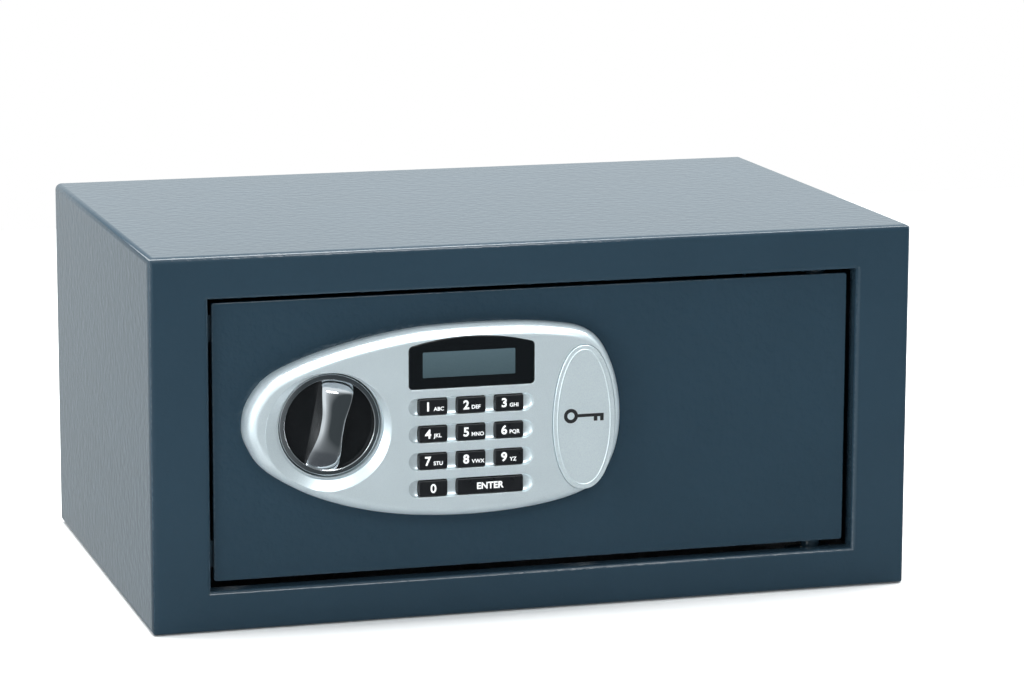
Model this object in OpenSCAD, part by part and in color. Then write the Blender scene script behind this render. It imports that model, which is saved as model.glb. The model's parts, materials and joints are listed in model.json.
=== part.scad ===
// In-room safe: folded steel body, recessed door with an electronic keypad panel, a knob that
// throws two bolts, a solenoid that holds them, and an emergency key lock under an oval cap.
// Millimetres. +X right, +Y to the back, +Z up. The origin is on the underside, at the centre of
// the four anchor holes.

/* [Body] */
// Outside width of the body
body_w = 420; // [405:1:520]
// Outside height of the body
body_h = 200; // [192:1:260]
// Outside depth of the body, front face to rear edge
body_d = 270; // [220:1:420]
// Thickness of the folded sheet
sheet = 2; // [1.5:0.1:2.5]
// Outside radius of the folds
fold_r = 3.5; // [2.8:0.1:5]
// Width of the front frame on the bolt side
frame_left = 31.5; // [28:0.5:40]
// Width of the front frame on the hinge side
frame_right = 31; // [28:0.5:40]
// Height of the front frame above the door
frame_top = 23; // [18:0.5:35]
// Height of the front frame below the door
frame_bottom = 22; // [18:0.5:35]
// How far the frame's lip is folded back round the opening
lip_depth = 10; // [9:0.5:10.5]
// Outside radius of the lip's fold
lip_r = 2.5; // [2.2:0.1:3]
// Depth of the flange round the rear panel
back_flange = 14; // [8:1:25]

/* [Anchoring] */
// Diameter of the anchor holes
anchor_d = 10; // [8:0.5:14]
// Distance between the base anchor holes, across
base_anchor_x = 260; // [150:5:300]
// Distance between the base anchor holes, front to back
base_anchor_y = 130; // [80:5:150]
// Distance between the rear anchor holes
rear_anchor_x = 220; // [120:5:300]
// Height of the rear anchor holes
rear_anchor_z = 100; // [60:5:140]
// Thickness of the floor mat
mat_t = 3; // [2:0.5:5]

/* [Door] */
// Thickness of the door plate
door_plate_t = 4; // [3:0.5:4.5]
// How far the door's face lies behind the frame's face
door_recess = 4.5; // [3.5:0.5:5]
// Gap beside the door on the bolt side
gap_left = 2.5; // [2:0.1:4]
// Gap beside the door on the hinge side
gap_hinge = 4.2; // [4:0.1:6]
// Gap above the door
gap_top = 2.5; // [2:0.1:4]
// Gap below the door
gap_bottom = 4.5; // [3:0.1:6]
// Radius of the hinge pins
hinge_pin_r = 4; // [3:0.1:4.5]
// Distance of the hinge line from the door's edge
hinge_inset = 14; // [13:0.1:16]
// Distance of the hinge line behind the door's face
hinge_setback = 11.5; // [11:0.1:12]

/* [Keypad panel] */
// Distance of the panel's centre from the door's bolt edge
panel_from_edge = 118; // [114:1:125]
// Height of the panel's centre above the door's lower edge
panel_from_bottom = 80.5; // [78:0.5:100]
// How far the panel stands out of the door
panel_t = 12; // [11.5:0.1:14.5]
// Width of the rounded rim of the panel
rim_w = 6; // [4:0.5:8]
// Wall of the panel's face
face_wall = 3.5; // [3.2:0.1:4]
// Width of a key
key_w = 15.5; // [14:0.1:16.5]
// Height of a key
key_h = 8.4; // [7.5:0.1:9]
// Distance between key columns
key_pitch_x = 20.8; // [20:0.1:22]
// Distance between key rows
key_pitch_z = 14.6; // [13.5:0.1:15]
// Travel of a key
key_travel = 1; // [0.6:0.1:1.2]
// Width of the display lens
lens_w = 68.6; // [62:0.1:70]
// Height of the display lens at its ends
lens_h = 22.6; // [21:0.1:23]
// Rise of the lens's arched top
lens_arch = 4.7; // [3:0.1:5]
// Width of the oval cap
cap_w = 34.4; // [30:0.1:36]
// Height of the oval cap
cap_h = 78; // [60:0.5:79]

/* [Knob] */
// Radius of the chrome ring, outside
knob_r = 27; // [26:0.1:27.5]
// Wall of the chrome ring
knob_ring_wall = 2.8; // [2:0.1:3.5]
// Width of the grip's foot
grip_w = 18; // [14:0.5:20]
// Radius of the spindle
spindle_r = 5; // [4:0.1:6]
// Lean of the grip when open, clockwise, in degrees
grip_lean = 11; // [0:1:20]
// Turn of the knob from open to locked, in degrees
knob_turn = 90; // [80:1:90]
// Length of the crank from the spindle to its pin
crank_len = 11; // [10:0.1:11.5]

/* [Bolt work] */
// Radius of a locking bolt
bolt_r = 9; // [7:0.1:9.3]
// Distance between the two bolts
bolt_spacing = 80; // [78:1:90]
// Thickness of the bolt carriage
carriage_t = 3; // [2.5:0.1:3.2]
// Travel of the solenoid's plunger
plunger_travel = 5; // [4:0.1:5.5]
// Radius of the emergency lock's barrel
barrel_r = 9.5; // [8:0.1:10]
// Depth of the inner cover behind the door plate
cover_depth = 30.5; // [30:0.5:36]
// Wall of the inner cover
cover_wall = 2; // [1.5:0.1:2.5]

/* [Power] */
// Radius of a battery cell
cell_r = 7.1; // [7:0.05:7.25]
// Length of a battery cell
cell_len = 50.4; // [49:0.1:50.5]
// Number of cells
cell_count = 4; // [2:1:4]

/* [Hidden] */
$fn = 64;

// Clearances
run_gap = 0.05;     // round part turning or sliding in its bore
snug = 0.1;         // pieces that touch or are welded
slip = 0.3;         // pieces that pass each other
key_gap = 0.3;      // key in its hole
cap_gap = 0.35;     // cap in its pocket
eps = 0.01;

// Body and opening
front_y = -body_d / 2;
back_y = body_d / 2;
open_l = -body_w / 2 + frame_left;
open_r = body_w / 2 - frame_right;
open_b = frame_bottom;
open_t = body_h - frame_top;
open_corner_r = 2;
lip_back_y = front_y + lip_depth;

// Door
door_l = open_l + gap_left;
door_r = open_r - gap_hinge;
door_b = open_b + gap_bottom;
door_top = open_t - gap_top;
door_mid = (door_b + door_top) / 2;
door_y = front_y + door_recess;
door_back = door_y + door_plate_t;
door_corner_r = 1.5;
hinge_x = door_r - hinge_inset;
hinge_y = door_y + hinge_setback;

// Hinge seats and arms
seat_t = 3;
seat_w = 24;
seat_leg = 12;
arm_t = 3;
arm_leg = 18;
arm_w = hinge_inset + 9;
arm_inset = 3.5;
pin_shoulder_r = 5.5;
washer_t = 1;
stop_t = 2;
stop_w = 6;
stop_h = 14;

// Keypad panel: u runs right and v runs up from the panel's centre
panel_x = door_l + panel_from_edge;
panel_z = door_b + panel_from_bottom;
face_y = door_y - panel_t;
ceiling_y = face_y + face_wall;
rim_h = 9;
side_wall = 3.2;
panel_points = [[-103, 3], [-99, 16.5], [-86, 29.5], [-55, 41], [-15, 49], [25, 51], [62, 49.5],
    [86, 43.5], [98, 25], [102.5, 0], [99, -23], [87, -40], [60, -48.5], [18, -51.7],
    [-25, -48.5], [-62, -38.5], [-90, -23], [-100.5, -9]];
spline_steps = 4;
boss_r = 3.5;
panel_bosses = [[-93.5, 3], [-28, 37], [-28, -38], [60.5, 42], [60.5, -41.5]];
screw_r = 2;
pilot_r = 1.7;

// Keys
keys_u = 18.2;
keys_top_v = 8.9;
key_corner_r = 0.8;
key_proud = 0.6;
key_flange = 1;
key_flange_t = 1;
channel_h = key_h + 1;
channel_over = 5.4;
channel_depth = 1.8;
key_rows = 4;
enter_w = key_w + key_pitch_x;

// Display
lens_u = 18.65;
lens_b = 18.4;
lens_t = 1.8;
lens_set = 0.3;
lens_corner_r = 3;
window_w = 50.4;
window_h = 13.6;
window_u = 17.1;
window_b = 24.4;
display_t = 2.4;
display_edge = 3;

// Circuit board
board_l = -21;
board_r = 56;
board_b = -42;
board_top = 43;
board_t = 1.6;
mat_sheet_t = 1.2;
key_back_y = ceiling_y + slip + key_flange_t;
mat_front_y = key_back_y + key_travel + slip;
board_y = mat_front_y + mat_sheet_t + snug;
board_back = board_y + board_t;
board_screws_uv = [[-17.5, -38.5], [52.5, -38.5], [-17.5, 38], [52.5, 38]];
board_boss_r = 2.5;

// Knob
knob_u = -57;
knob_v = 1;
knob_x = panel_x + knob_u;
knob_z = panel_z + knob_v;
well_gap = 2.5;
well_r = knob_r + well_gap;
well_wall = 2;
dish_r = well_r + 4;
dish_depth = 4.5;
knob_back = door_y - 0.7;
disc_t = 2.5;
disc_y = knob_back - disc_t;
ring_h = 5.5;
grip_rise = 1.5;
spindle_back = door_back + 14.5;
bush_r = 8;
bush_flange_r = 11;
bush_flange_t = 2;
clip_t = 1;
clip_r = 8;

// Crank, carriage and bolts. The crank pin hangs below the spindle and swings a half turn of
// knob_turn to each side, so the carriage travels by the chord.
bolt_y = door_back + 12.5;
carriage_y = bolt_y + 3;
throw = 2 * crank_len * sin(knob_turn / 2);
crank_pin_r = 3;
crank_hub_r = 8;
crank_arm_w = 9;
crank_t = 4;
pin_dx = crank_len * sin(knob_turn / 2);
pin_dz = crank_len * cos(knob_turn / 2);
yoke_gap = 0.55;
flange_t = 2.5;
flange_x = knob_x - crank_hub_r - 5;
bolt_drop = 6.5;
bolt_lo = panel_z - bolt_drop - bolt_spacing / 2;
bolt_hi = panel_z - bolt_drop + bolt_spacing / 2;
bolt_tip = door_l + 6;
stud_r = 4;
stud_over = 8.5;
nut_r = 7;
nut_t = 6;
bolt_margin = 10.5;
carriage_b = bolt_lo + bolt_margin;
carriage_top = bolt_hi - bolt_margin;
guide_stud_r = 3;
guide_head_r = 6;
guide_head_t = 2;
guide_x = knob_x + 23;
guide_z = [carriage_b + 9, carriage_top - 9];
tail_h = 18;
plunger_r = 3;
plunger_x = panel_x + 46;
plunger_y = carriage_y + carriage_t / 2;
notch_gap = 0.6;
notch_depth = plunger_travel + 2;
tip_gap = 0.8;
plunger_tip = carriage_b - tip_gap;
collar_t = 1.5;
collar_r = 5;
collar_gap = 0.9;
collar_top = carriage_b - plunger_travel - collar_gap;
coil_len = 3.3;
coil_r = 4;
coil_wire_r = 0.35;
coil_turns = 3;
solenoid_top = collar_top - collar_t - coil_len;
solenoid_size = [22, 21, 21];

// Emergency lock
lock_x = panel_x + 80.4;
lock_z = panel_z - 1.3;
cap_t = 3;
cap_proud = 0.6;
pocket_depth = cap_t - cap_proud;
barrel_front = face_y + pocket_depth + 1;
barrel_back = plunger_y + plunger_r + snug;
barrel_flange_r = 12;
barrel_flange_t = 2;
plug_r = 5.5;
cam_t = 2.2;
cam_w = 10;
cam_square = 6;
cam_y = barrel_back + 0.3;
cam_reach = norm([plunger_x + collar_r - lock_x, collar_top - lock_z]) - slip;

// Inner cover, guide and posts
cover_l = door_l + 11;
cover_r = panel_x + 206;
cover_b = door_b + 9.5;
cover_top = door_top - 8.5;
cover_back = door_back + cover_depth;
guide_sheet = 2.5;
guide_web_x = cover_l - guide_sheet - slip;
guide_foot = 8;
post_r = 4;
posts = [[cover_l + 11, panel_z - 14], [panel_x + 18, cover_top - 10],
    [panel_x + 18, cover_b + 10], [cover_r - 9, cover_top - 10], [cover_r - 9, cover_b + 10]];
head_r = 3.6;
head_t = 2.4;

// Power and reset
box_wall = 1.6;
cell_pitch = 2 * cell_r + 0.8;
box_in_w = cell_len + 3;
box_in_h = cell_count * cell_pitch;
box_x = panel_x + 126;
box_z = door_mid - box_in_h / 2;
box_depth = 19;
cell_y = door_back + 1 + box_wall + cell_r;
lid_gap = 0.4;
reset_x = panel_x + 100;
reset_z = cover_top - 17;
reset_r = 4;
reset_travel = 1.5;
reset_flange_r = 5.5;
reset_back = cover_back + 2;
wire_r = 1.1;
grommet_r = 6;
wire_x = panel_x + 18;
wire_z = panel_z + 23;
battery_route = [[-1, -6.6, 0], [-1, -3, 0], [-0.5, 1, 0], [3, 4.5, 1], [14, 6, 4], [34, 6, 9],
    [60, 6, 11], [82, 6, 8], [96, 6.5, 1], [102, 7, -6], [105, 7, -12]];
solenoid_route = [[2, -6.6, -1], [2, -3, -1], [2, 1, -1], [2.2, 2.8, -1.8], [3, 4.6, -5],
    [4.5, 6, -14], [7, 6, -30], [9, 6, -50], [10, 7, -64], [11, 9, -71], [13.5, 10, -74],
    [17, 10, -74]];

// ---- Shared shapes ----

module along_x(x0, x1) {
    translate([x0, 0, 0]) rotate([90, 0, 90]) linear_extrude(x1 - x0) children();
}

module along_y(y0, y1) {
    translate([0, y1, 0]) rotate([90, 0, 0]) linear_extrude(y1 - y0) children();
}

module block(x0, x1, y0, y1, z0, z1) {
    translate([x0, y0, z0]) cube([x1 - x0, y1 - y0, z1 - z0]);
}

// Rectangle from corner to corner with round corners
module round_rect(x0, x1, y0, y1, r) {
    translate([x0 + r, y0]) square([x1 - x0 - 2 * r, y1 - y0]);
    translate([x0, y0 + r]) square([x1 - x0, y1 - y0 - 2 * r]);
    for (x = [x0 + r, x1 - r], y = [y0 + r, y1 - r]) translate([x, y]) circle(r);
}

module rod_y(x, z, r, y0, y1) {
    translate([x, y1, z]) rotate([90, 0, 0]) cylinder(h = y1 - y0, r = r);
}

module rod_x(y, z, r, x0, x1) {
    translate([x0, y, z]) rotate([0, 90, 0]) cylinder(h = x1 - x0, r = r);
}

module rod_z(x, y, r, z0, z1) {
    translate([x, y, z0]) cylinder(h = z1 - z0, r = r);
}

module on_panel(u, v) {
    translate([panel_x + u, 0, panel_z + v]) children();
}

// Closed curve through the given points
function curve_at(p, i, t) =
    let (n = len(p), a = p[(i + n - 1) % n], b = p[i], c = p[(i + 1) % n], d = p[(i + 2) % n])
    0.5 * (2 * b + (c - a) * t + (2 * a - 5 * b + 4 * c - d) * t * t
        + (3 * b - a - 3 * c + d) * t * t * t);
function closed_curve(p, steps) =
    [for (i = [0 : len(p) - 1], s = [0 : steps - 1]) curve_at(p, i, s / steps)];

// Tube swept along a list of points, with a flat ring of sides at each
function unit(v) = v / norm(v);
function heading(p, i) = unit(p[min(i + 1, len(p) - 1)] - p[max(i - 1, 0)]);
function sideways(d) = unit(cross(d, abs(d[0]) < 0.8 ? [1, 0, 0] : [0, 0, 1]));
function ring(p, i, r, sides) =
    let (d = heading(p, i), a = sideways(d), b = cross(a, d))
    [for (k = [0 : sides - 1])
        p[i] + r * (cos(360 * k / sides) * a + sin(360 * k / sides) * b)];
module swept_tube(p, r, sides) {
    last = (len(p) - 1) * sides;
    polyhedron(
        points = [for (i = [0 : len(p) - 1]) each ring(p, i, r, sides)],
        faces = concat(
            [[for (k = [0 : sides - 1]) k]],
            [for (i = [0 : len(p) - 2], k = [0 : sides - 1])
                let (a = i * sides + k, b = i * sides + (k + 1) % sides)
                each [[a, a + sides, b + sides], [a, b + sides, b]]],
            [[for (k = [sides - 1 : -1 : 0]) last + k]]),
        convexity = 4);
}

// ---- Body ----

// Box with its long edges and front edges rounded, from the front face backwards
module front_rounded_box(inset, r, back) {
    x = body_w / 2 - inset;
    past = 2 * r;
    intersection() {
        along_y(front_y + inset, back) round_rect(-x, x, inset, body_h - inset, r);
        along_x(-x, x) round_rect(front_y + inset, back + past, inset, body_h - inset, r);
        linear_extrude(body_h) round_rect(-x, x, front_y + inset, back + past, r);
    }
}

// Profile of the opening between two edges of the lip, with the fold's round at the front:
// across the opening first, then from front to back
module lip_profile(a0, a1) {
    difference() {
        union() {
            translate([a0, front_y - 1]) square([a1 - a0, lip_depth + 1 + eps]);
            translate([a0 - lip_r, front_y - 1]) square([a1 - a0 + 2 * lip_r, lip_r + 1]);
        }
        for (a = [a0 - lip_r, a1 + lip_r]) translate([a, front_y + lip_r]) circle(lip_r);
    }
}

module opening_cut() {
    intersection() {
        linear_extrude(body_h) lip_profile(open_l, open_r);
        along_x(-body_w / 2, body_w / 2) mirror([1, -1]) lip_profile(open_b, open_t);
        along_y(front_y - 1, lip_back_y + eps) round_rect(open_l - lip_r, open_r + lip_r,
            open_b - lip_r, open_t + lip_r, open_corner_r + lip_r);
    }
}

module body_shell() {
    color([0.19, 0.27, 0.32]) difference() {
        union() {
            difference() {
                front_rounded_box(0, fold_r, back_y);
                front_rounded_box(sheet, fold_r - sheet, back_y + 1);
            }
            along_y(front_y + sheet - eps, lip_back_y)
                round_rect(open_l - sheet, open_r + sheet, open_b - sheet, open_t + sheet,
                    open_corner_r);
        }
        opening_cut();
        for (x = [-1, 1], y = [-1, 1])
            rod_z(x * base_anchor_x / 2, y * base_anchor_y / 2, anchor_d / 2, -1, sheet + 1);
    }
}

module back_plate() {
    x = body_w / 2 - sheet - snug;
    z0 = sheet + snug;
    z1 = body_h - sheet - snug;
    r = fold_r - sheet;
    color([0.19, 0.27, 0.32]) difference() {
        along_y(back_y - back_flange, back_y) round_rect(-x, x, z0, z1, r);
        along_y(back_y - back_flange - 1, back_y - sheet)
            round_rect(-x + sheet, x - sheet, z0 + sheet, z1 - sheet, r);
        for (s = [-1, 1])
            rod_y(s * rear_anchor_x / 2, rear_anchor_z, anchor_d / 2, back_y - sheet - 1,
                back_y + 1);
    }
}

module hinge_seat(side) {
    rim = side > 0 ? open_t + sheet : open_b - sheet;
    near = rim + side * snug;
    far = near + side * seat_t;
    tip = far + side * seat_leg;
    leg_y = front_y + sheet + snug;
    difference() {
        union() {
            block(hinge_x - seat_w / 2, hinge_x + seat_w / 2, leg_y, hinge_y + 8, min(near, far),
                max(near, far));
            block(hinge_x - seat_w / 2, hinge_x + seat_w / 2, leg_y, leg_y + seat_t,
                min(near, tip), max(near, tip));
        }
        rod_z(hinge_x, hinge_y, hinge_pin_r + run_gap, min(near, far) - 1, max(near, far) + 1);
    }
}

module hinge_seat_upper() {
    color([0.19, 0.27, 0.32]) hinge_seat(1);
}

module hinge_seat_lower() {
    color([0.19, 0.27, 0.32]) hinge_seat(-1);
}

module hinge_washer() {
    z = open_b - sheet - snug;
    color("gainsboro") difference() {
        rod_z(hinge_x, hinge_y, pin_shoulder_r, z, z + washer_t);
        rod_z(hinge_x, hinge_y, hinge_pin_r + run_gap, z - 1, z + washer_t + 1);
    }
}

module door_stops() {
    color([0.19, 0.27, 0.32]) for (z = [door_b + 14, door_top - 14])
        block(open_l + snug, open_l + stop_w, door_back + slip, door_back + slip + stop_t,
            z - stop_h / 2, z + stop_h / 2);
}

module floor_mat() {
    x = body_w / 2 - fold_r;
    y0 = front_y + sheet + seat_t + 1;
    y1 = back_y - back_flange - 1;
    color([0.12, 0.12, 0.13]) difference() {
        translate([0, 0, sheet + 0.05]) linear_extrude(mat_t) round_rect(-x, x, y0, y1, 4);
        for (sx = [-1, 1], sy = [-1, 1])
            rod_z(sx * base_anchor_x / 2, sy * base_anchor_y / 2, anchor_d / 2 + 1, sheet - 1,
                sheet + mat_t + 1);
    }
}

// ---- Door ----

module door_plate() {
    color([0.17, 0.25, 0.3]) difference() {
        along_y(door_y, door_back) round_rect(door_l, door_r, door_b, door_top, door_corner_r);
        rod_y(knob_x, knob_z, bush_r + snug, door_y - 1, door_back + 1);
        rod_y(lock_x, lock_z, barrel_r + slip, door_y - 1, door_back + 1);
        rod_y(wire_x, wire_z, grommet_r, door_y - 1, door_back + 1);
        for (p = panel_bosses)
            on_panel(p[0], p[1]) rod_y(0, 0, screw_r + slip, door_y - 1, door_back + 1);
    }
}

module hinge_arms() {
    color("silver") for (side = [-1, 1]) {
        edge = side > 0 ? door_top - arm_inset : door_b + arm_inset;
        inner = edge - side * arm_t;
        foot = edge - side * arm_leg;
        x0 = door_r - arm_w;
        difference() {
            union() {
                block(x0, door_r - 1, door_back + snug, hinge_y + hinge_pin_r + 3,
                    min(edge, inner), max(edge, inner));
                block(x0, door_r - 1, door_back + snug, door_back + snug + arm_t,
                    min(edge, foot), max(edge, foot));
            }
            rod_z(hinge_x, hinge_y, hinge_pin_r + 0.02, min(edge, inner) - 1,
                max(edge, inner) + 1);
        }
    }
}

module hinge_pins() {
    upper_seat = open_t + sheet + snug + seat_t;
    lower_seat = open_b - sheet - snug - seat_t;
    upper_arm = door_top - arm_inset;
    lower_arm = door_b + arm_inset;
    color("gainsboro") {
        rod_z(hinge_x, hinge_y, hinge_pin_r, upper_arm - arm_t, upper_seat + 0.5);
        rod_z(hinge_x, hinge_y, pin_shoulder_r, upper_arm + snug, open_t - 1.5);
        rod_z(hinge_x, hinge_y, hinge_pin_r, lower_seat - 0.5, lower_arm + arm_t);
        rod_z(hinge_x, hinge_y, pin_shoulder_r,
            open_b - sheet - snug + washer_t + snug, lower_arm - snug);
    }
}

module bolt_guide() {
    z0 = cover_b + cover_wall + 0.5;
    z1 = cover_top - cover_wall - 0.5;
    y0 = door_back + snug;
    color("silver") difference() {
        union() {
            block(guide_web_x, guide_web_x + guide_sheet, y0, cover_back - cover_wall - 0.5,
                z0, z1);
            block(guide_web_x, guide_web_x + guide_foot, y0, y0 + guide_sheet, z0, z1);
        }
        for (z = [bolt_lo, bolt_hi])
            rod_x(bolt_y, z, bolt_r + run_gap, guide_web_x - 1, guide_web_x + guide_sheet + 1);
    }
}

module guide_studs() {
    y0 = door_back + snug;
    back = carriage_y + carriage_t + slip;
    color("gainsboro") for (z = guide_z) {
        rod_y(guide_x, z, guide_stud_r, y0, back);
        rod_y(guide_x, z, guide_head_r, back, back + guide_head_t);
        rod_y(guide_x, z, guide_head_r, y0, carriage_y - 1);
    }
}

module cover_posts() {
    inside = cover_back - cover_wall;
    color("silver") for (p = posts) difference() {
        rod_y(p[0], p[1], post_r, door_back + snug, inside - snug);
        rod_y(p[0], p[1], screw_r, inside - 12, inside + 1);
    }
}

module inner_cover() {
    inside = cover_back - cover_wall;
    color([0.16, 0.17, 0.18]) difference() {
        block(cover_l, cover_r, door_back + snug, cover_back, cover_b, cover_top);
        block(cover_l - 1, cover_r - cover_wall, door_back, inside, cover_b + cover_wall,
            cover_top - cover_wall);
        along_y(inside - 1, cover_back + 1)
            round_rect(box_x - lid_gap, box_x + box_in_w + lid_gap, box_z - lid_gap,
                box_z + box_in_h + lid_gap, 2);
        rod_y(reset_x, reset_z, reset_r + slip, inside - 1, cover_back + 1);
        for (p = posts) rod_y(p[0], p[1], screw_r + slip, inside - 1, cover_back + 1);
    }
}

module cover_screws() {
    color("gainsboro") for (p = posts) {
        rod_y(p[0], p[1], screw_r - run_gap, cover_back - 10, cover_back + snug);
        difference() {
            rod_y(p[0], p[1], head_r, cover_back + snug, cover_back + snug + head_t);
            for (a = [0, 90]) translate([p[0], cover_back + snug + head_t, p[1]])
                rotate([0, a, 0]) cube([4, 2, 0.9], center = true);
        }
    }
}

module battery_box() {
    y0 = door_back + 1;
    color([0.1, 0.1, 0.11]) difference() {
        block(box_x - box_wall, box_x + box_in_w + box_wall, y0, y0 + box_depth,
            box_z - box_wall, box_z + box_in_h + box_wall);
        block(box_x, box_x + box_in_w, y0 + box_wall, y0 + box_depth + 1, box_z,
            box_z + box_in_h);
    }
}

module batteries() {
    start = box_x + (box_in_w - cell_len) / 2;
    color([0.75, 0.6, 0.3]) for (i = [0 : cell_count - 1]) {
        z = box_z + (i + 0.5) * cell_pitch;
        flip = i % 2;
        rod_x(cell_y + 0.2, z, cell_r, start + (flip == 1 ? 1.3 : 0),
            start + cell_len - (flip == 1 ? 0 : 1.3));
        rod_x(cell_y + 0.2, z, 2.7, start, start + cell_len);
    }
}

module battery_contacts() {
    plate_t = 0.4;
    color("gold") for (x = [box_x + snug, box_x + box_in_w - snug - plate_t],
        i = [0 : cell_count - 1])
        block(x, x + plate_t, cell_y - 5, cell_y + 5, box_z + (i + 0.5) * cell_pitch - 5,
            box_z + (i + 0.5) * cell_pitch + 5);
}

module battery_lid() {
    inside = cover_back - cover_wall;
    color([0.14, 0.15, 0.16]) {
        along_y(inside, cover_back)
            round_rect(box_x, box_x + box_in_w, box_z, box_z + box_in_h, 2);
        along_y(inside - 3, inside + eps)
            round_rect(box_x + 2, box_x + box_in_w - 2, box_z + 2, box_z + box_in_h - 2, 2);
        block(box_x + box_in_w / 2 - 8, box_x + box_in_w / 2 + 8, cover_back - eps,
            cover_back + 1.2, box_z + box_in_h - 9, box_z + box_in_h - 5);
    }
}

// ---- Keypad panel ----

module panel_outline(inset) {
    offset(delta = -inset) polygon(closed_curve(panel_points, spline_steps));
}

module panel_form() {
    hull() for (a = [0 : 15 : 90]) on_panel(0, 0)
        along_y(face_y + rim_h * (1 - sin(a)), door_y)
            panel_outline(rim_w * (1 - cos(a)));
}

module key_shape(w, extra) {
    round_rect(-w / 2 - extra, w / 2 + extra, -key_h / 2 - extra, key_h / 2 + extra,
        key_corner_r);
}

// Arched outline of the display lens, grown by extra
module lens_shape(extra) {
    rise_r = (pow(lens_w / 2, 2) + pow(lens_arch, 2)) / (2 * lens_arch);
    top = lens_b + lens_h + lens_arch;
    intersection() {
        round_rect(lens_u - lens_w / 2 - extra, lens_u + lens_w / 2 + extra, lens_b - extra,
            top + 2 * lens_corner_r, lens_corner_r);
        translate([lens_u, top - rise_r]) circle(rise_r + extra, $fn = 180);
    }
}

// Egg outline of the cap, a little narrower at the top
module cap_shape(extra) {
    a = cap_w / 2 + extra;
    b = cap_h / 2 + extra;
    squareness = 0.9;
    taper = 0.05;
    polygon([for (t = [0 : 6 : 354]) let (c = cos(t), s = sin(t))
        [a * sign(c) * pow(abs(c), squareness) * (1 - taper * s), b * s]]);
}

module keypad_housing() {
    wall_back = door_y - snug;
    floor_y = face_y + pocket_depth;
    color([0.7, 0.75, 0.78]) difference() {
        union() {
            difference() {
                panel_form();
                on_panel(0, 0) along_y(ceiling_y, door_y + 1) panel_outline(side_wall);
            }
            rod_y(knob_x, knob_z, well_r + well_wall, face_y + 2, wall_back);
            for (p = panel_bosses) on_panel(p[0], p[1])
                rod_y(0, 0, boss_r, face_y + 2, wall_back);
            for (p = board_screws_uv) on_panel(p[0], p[1])
                rod_y(0, 0, board_boss_r, face_y + 2, board_y - snug);
            translate([lock_x, 0, lock_z]) along_y(face_y + 1, floor_y + 2)
                cap_shape(cap_gap + 1.2);
        }
        block(panel_x - 120, panel_x + 120, wall_back, door_y + 1, 0, body_h);
        rod_y(knob_x, knob_z, well_r, face_y - 1, door_y + 1);
        translate([knob_x, face_y - eps, knob_z]) rotate([-90, 0, 0])
            cylinder(h = dish_depth, r1 = dish_r, r2 = well_r);
        on_panel(0, 0) along_y(face_y - 1, face_y + lens_set + lens_t + snug)
            lens_shape(slip / 2);
        on_panel(window_u, window_b + window_h / 2) block(-window_w / 2 - 1, window_w / 2 + 1,
            face_y, ceiling_y + 1, -window_h / 2 - 1, window_h / 2 + 1);
        for (row = [0 : key_rows - 1]) on_panel(keys_u, keys_top_v - row * key_pitch_z) {
            half = key_pitch_x + key_w / 2 + channel_over;
            along_y(face_y - 1, face_y + channel_depth)
                round_rect(-half, half, -channel_h / 2, channel_h / 2, channel_h / 2 - 0.1);
        }
        for (row = [0 : key_rows - 2], col = [-1 : 1])
            on_panel(keys_u + col * key_pitch_x, keys_top_v - row * key_pitch_z)
                along_y(face_y - 1, ceiling_y + 1) key_shape(key_w, key_gap);
        on_panel(keys_u - key_pitch_x, keys_top_v - 3 * key_pitch_z)
            along_y(face_y - 1, ceiling_y + 1) key_shape(key_w, key_gap);
        on_panel(keys_u + key_pitch_x / 2, keys_top_v - 3 * key_pitch_z)
            along_y(face_y - 1, ceiling_y + 1) key_shape(enter_w, key_gap);
        translate([lock_x, 0, lock_z]) along_y(face_y - 1, floor_y) cap_shape(cap_gap);
        rod_y(lock_x, lock_z, barrel_r + slip, face_y, door_y + 1);
        for (p = panel_bosses) on_panel(p[0], p[1])
            rod_y(0, 0, pilot_r, ceiling_y + 0.5, door_y + 1);
        for (p = board_screws_uv) on_panel(p[0], p[1])
            rod_y(0, 0, 0.9, ceiling_y, door_y + 1);
    }
}

module display_lens() {
    color([0.04, 0.05, 0.06]) on_panel(0, 0)
        along_y(face_y + lens_set, face_y + lens_set + lens_t) lens_shape(0);
}

module display_panel() {
    u0 = window_u - window_w / 2;
    back = ceiling_y + slip + display_t;
    color([0.35, 0.42, 0.43]) on_panel(0, 0) {
        block(u0 - display_edge, u0 + window_w + display_edge, ceiling_y + slip, back,
            window_b - display_edge, window_b + window_h + display_edge);
        block(u0, u0 + window_w, face_y + lens_set + lens_t + slip, ceiling_y + slip + eps,
            window_b, window_b + window_h);
    }
}

module circuit_board() {
    chips = [[18, -12, 14, 14], [-8, 22, 10, 6], [36, 26, 8, 6], [40, -20, 7, 5]];
    chip_t = 1.4;
    color("darkgreen") on_panel(0, 0) {
        difference() {
            block(board_l, board_r, board_y, board_back, board_b, board_top);
            for (p = board_screws_uv)
                rod_y(p[0], p[1], 1.2, board_y - 1, board_back + 1);
        }
        for (c = chips) block(c[0], c[0] + c[2], board_back - eps, board_back + chip_t, c[1],
            c[1] + c[3]);
    }
}

module board_screws() {
    front = board_y - 2.5;
    color("gainsboro") for (p = board_screws_uv) on_panel(p[0], p[1]) {
        rod_y(0, 0, 0.85, front, board_back + snug);
        rod_y(0, 0, 2, board_back + snug, board_back + snug + 1);
    }
}

module key_mat() {
    half_w = key_pitch_x + key_w / 2 + 2.5;
    top = keys_top_v + key_h / 2 + 1.2;
    bottom = keys_top_v - 3 * key_pitch_z - key_h / 2 - 1.2;
    color([0.25, 0.26, 0.28]) on_panel(keys_u, 0)
        along_y(mat_front_y, mat_front_y + mat_sheet_t)
            round_rect(-half_w, half_w, bottom, top, 1);
}

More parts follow.
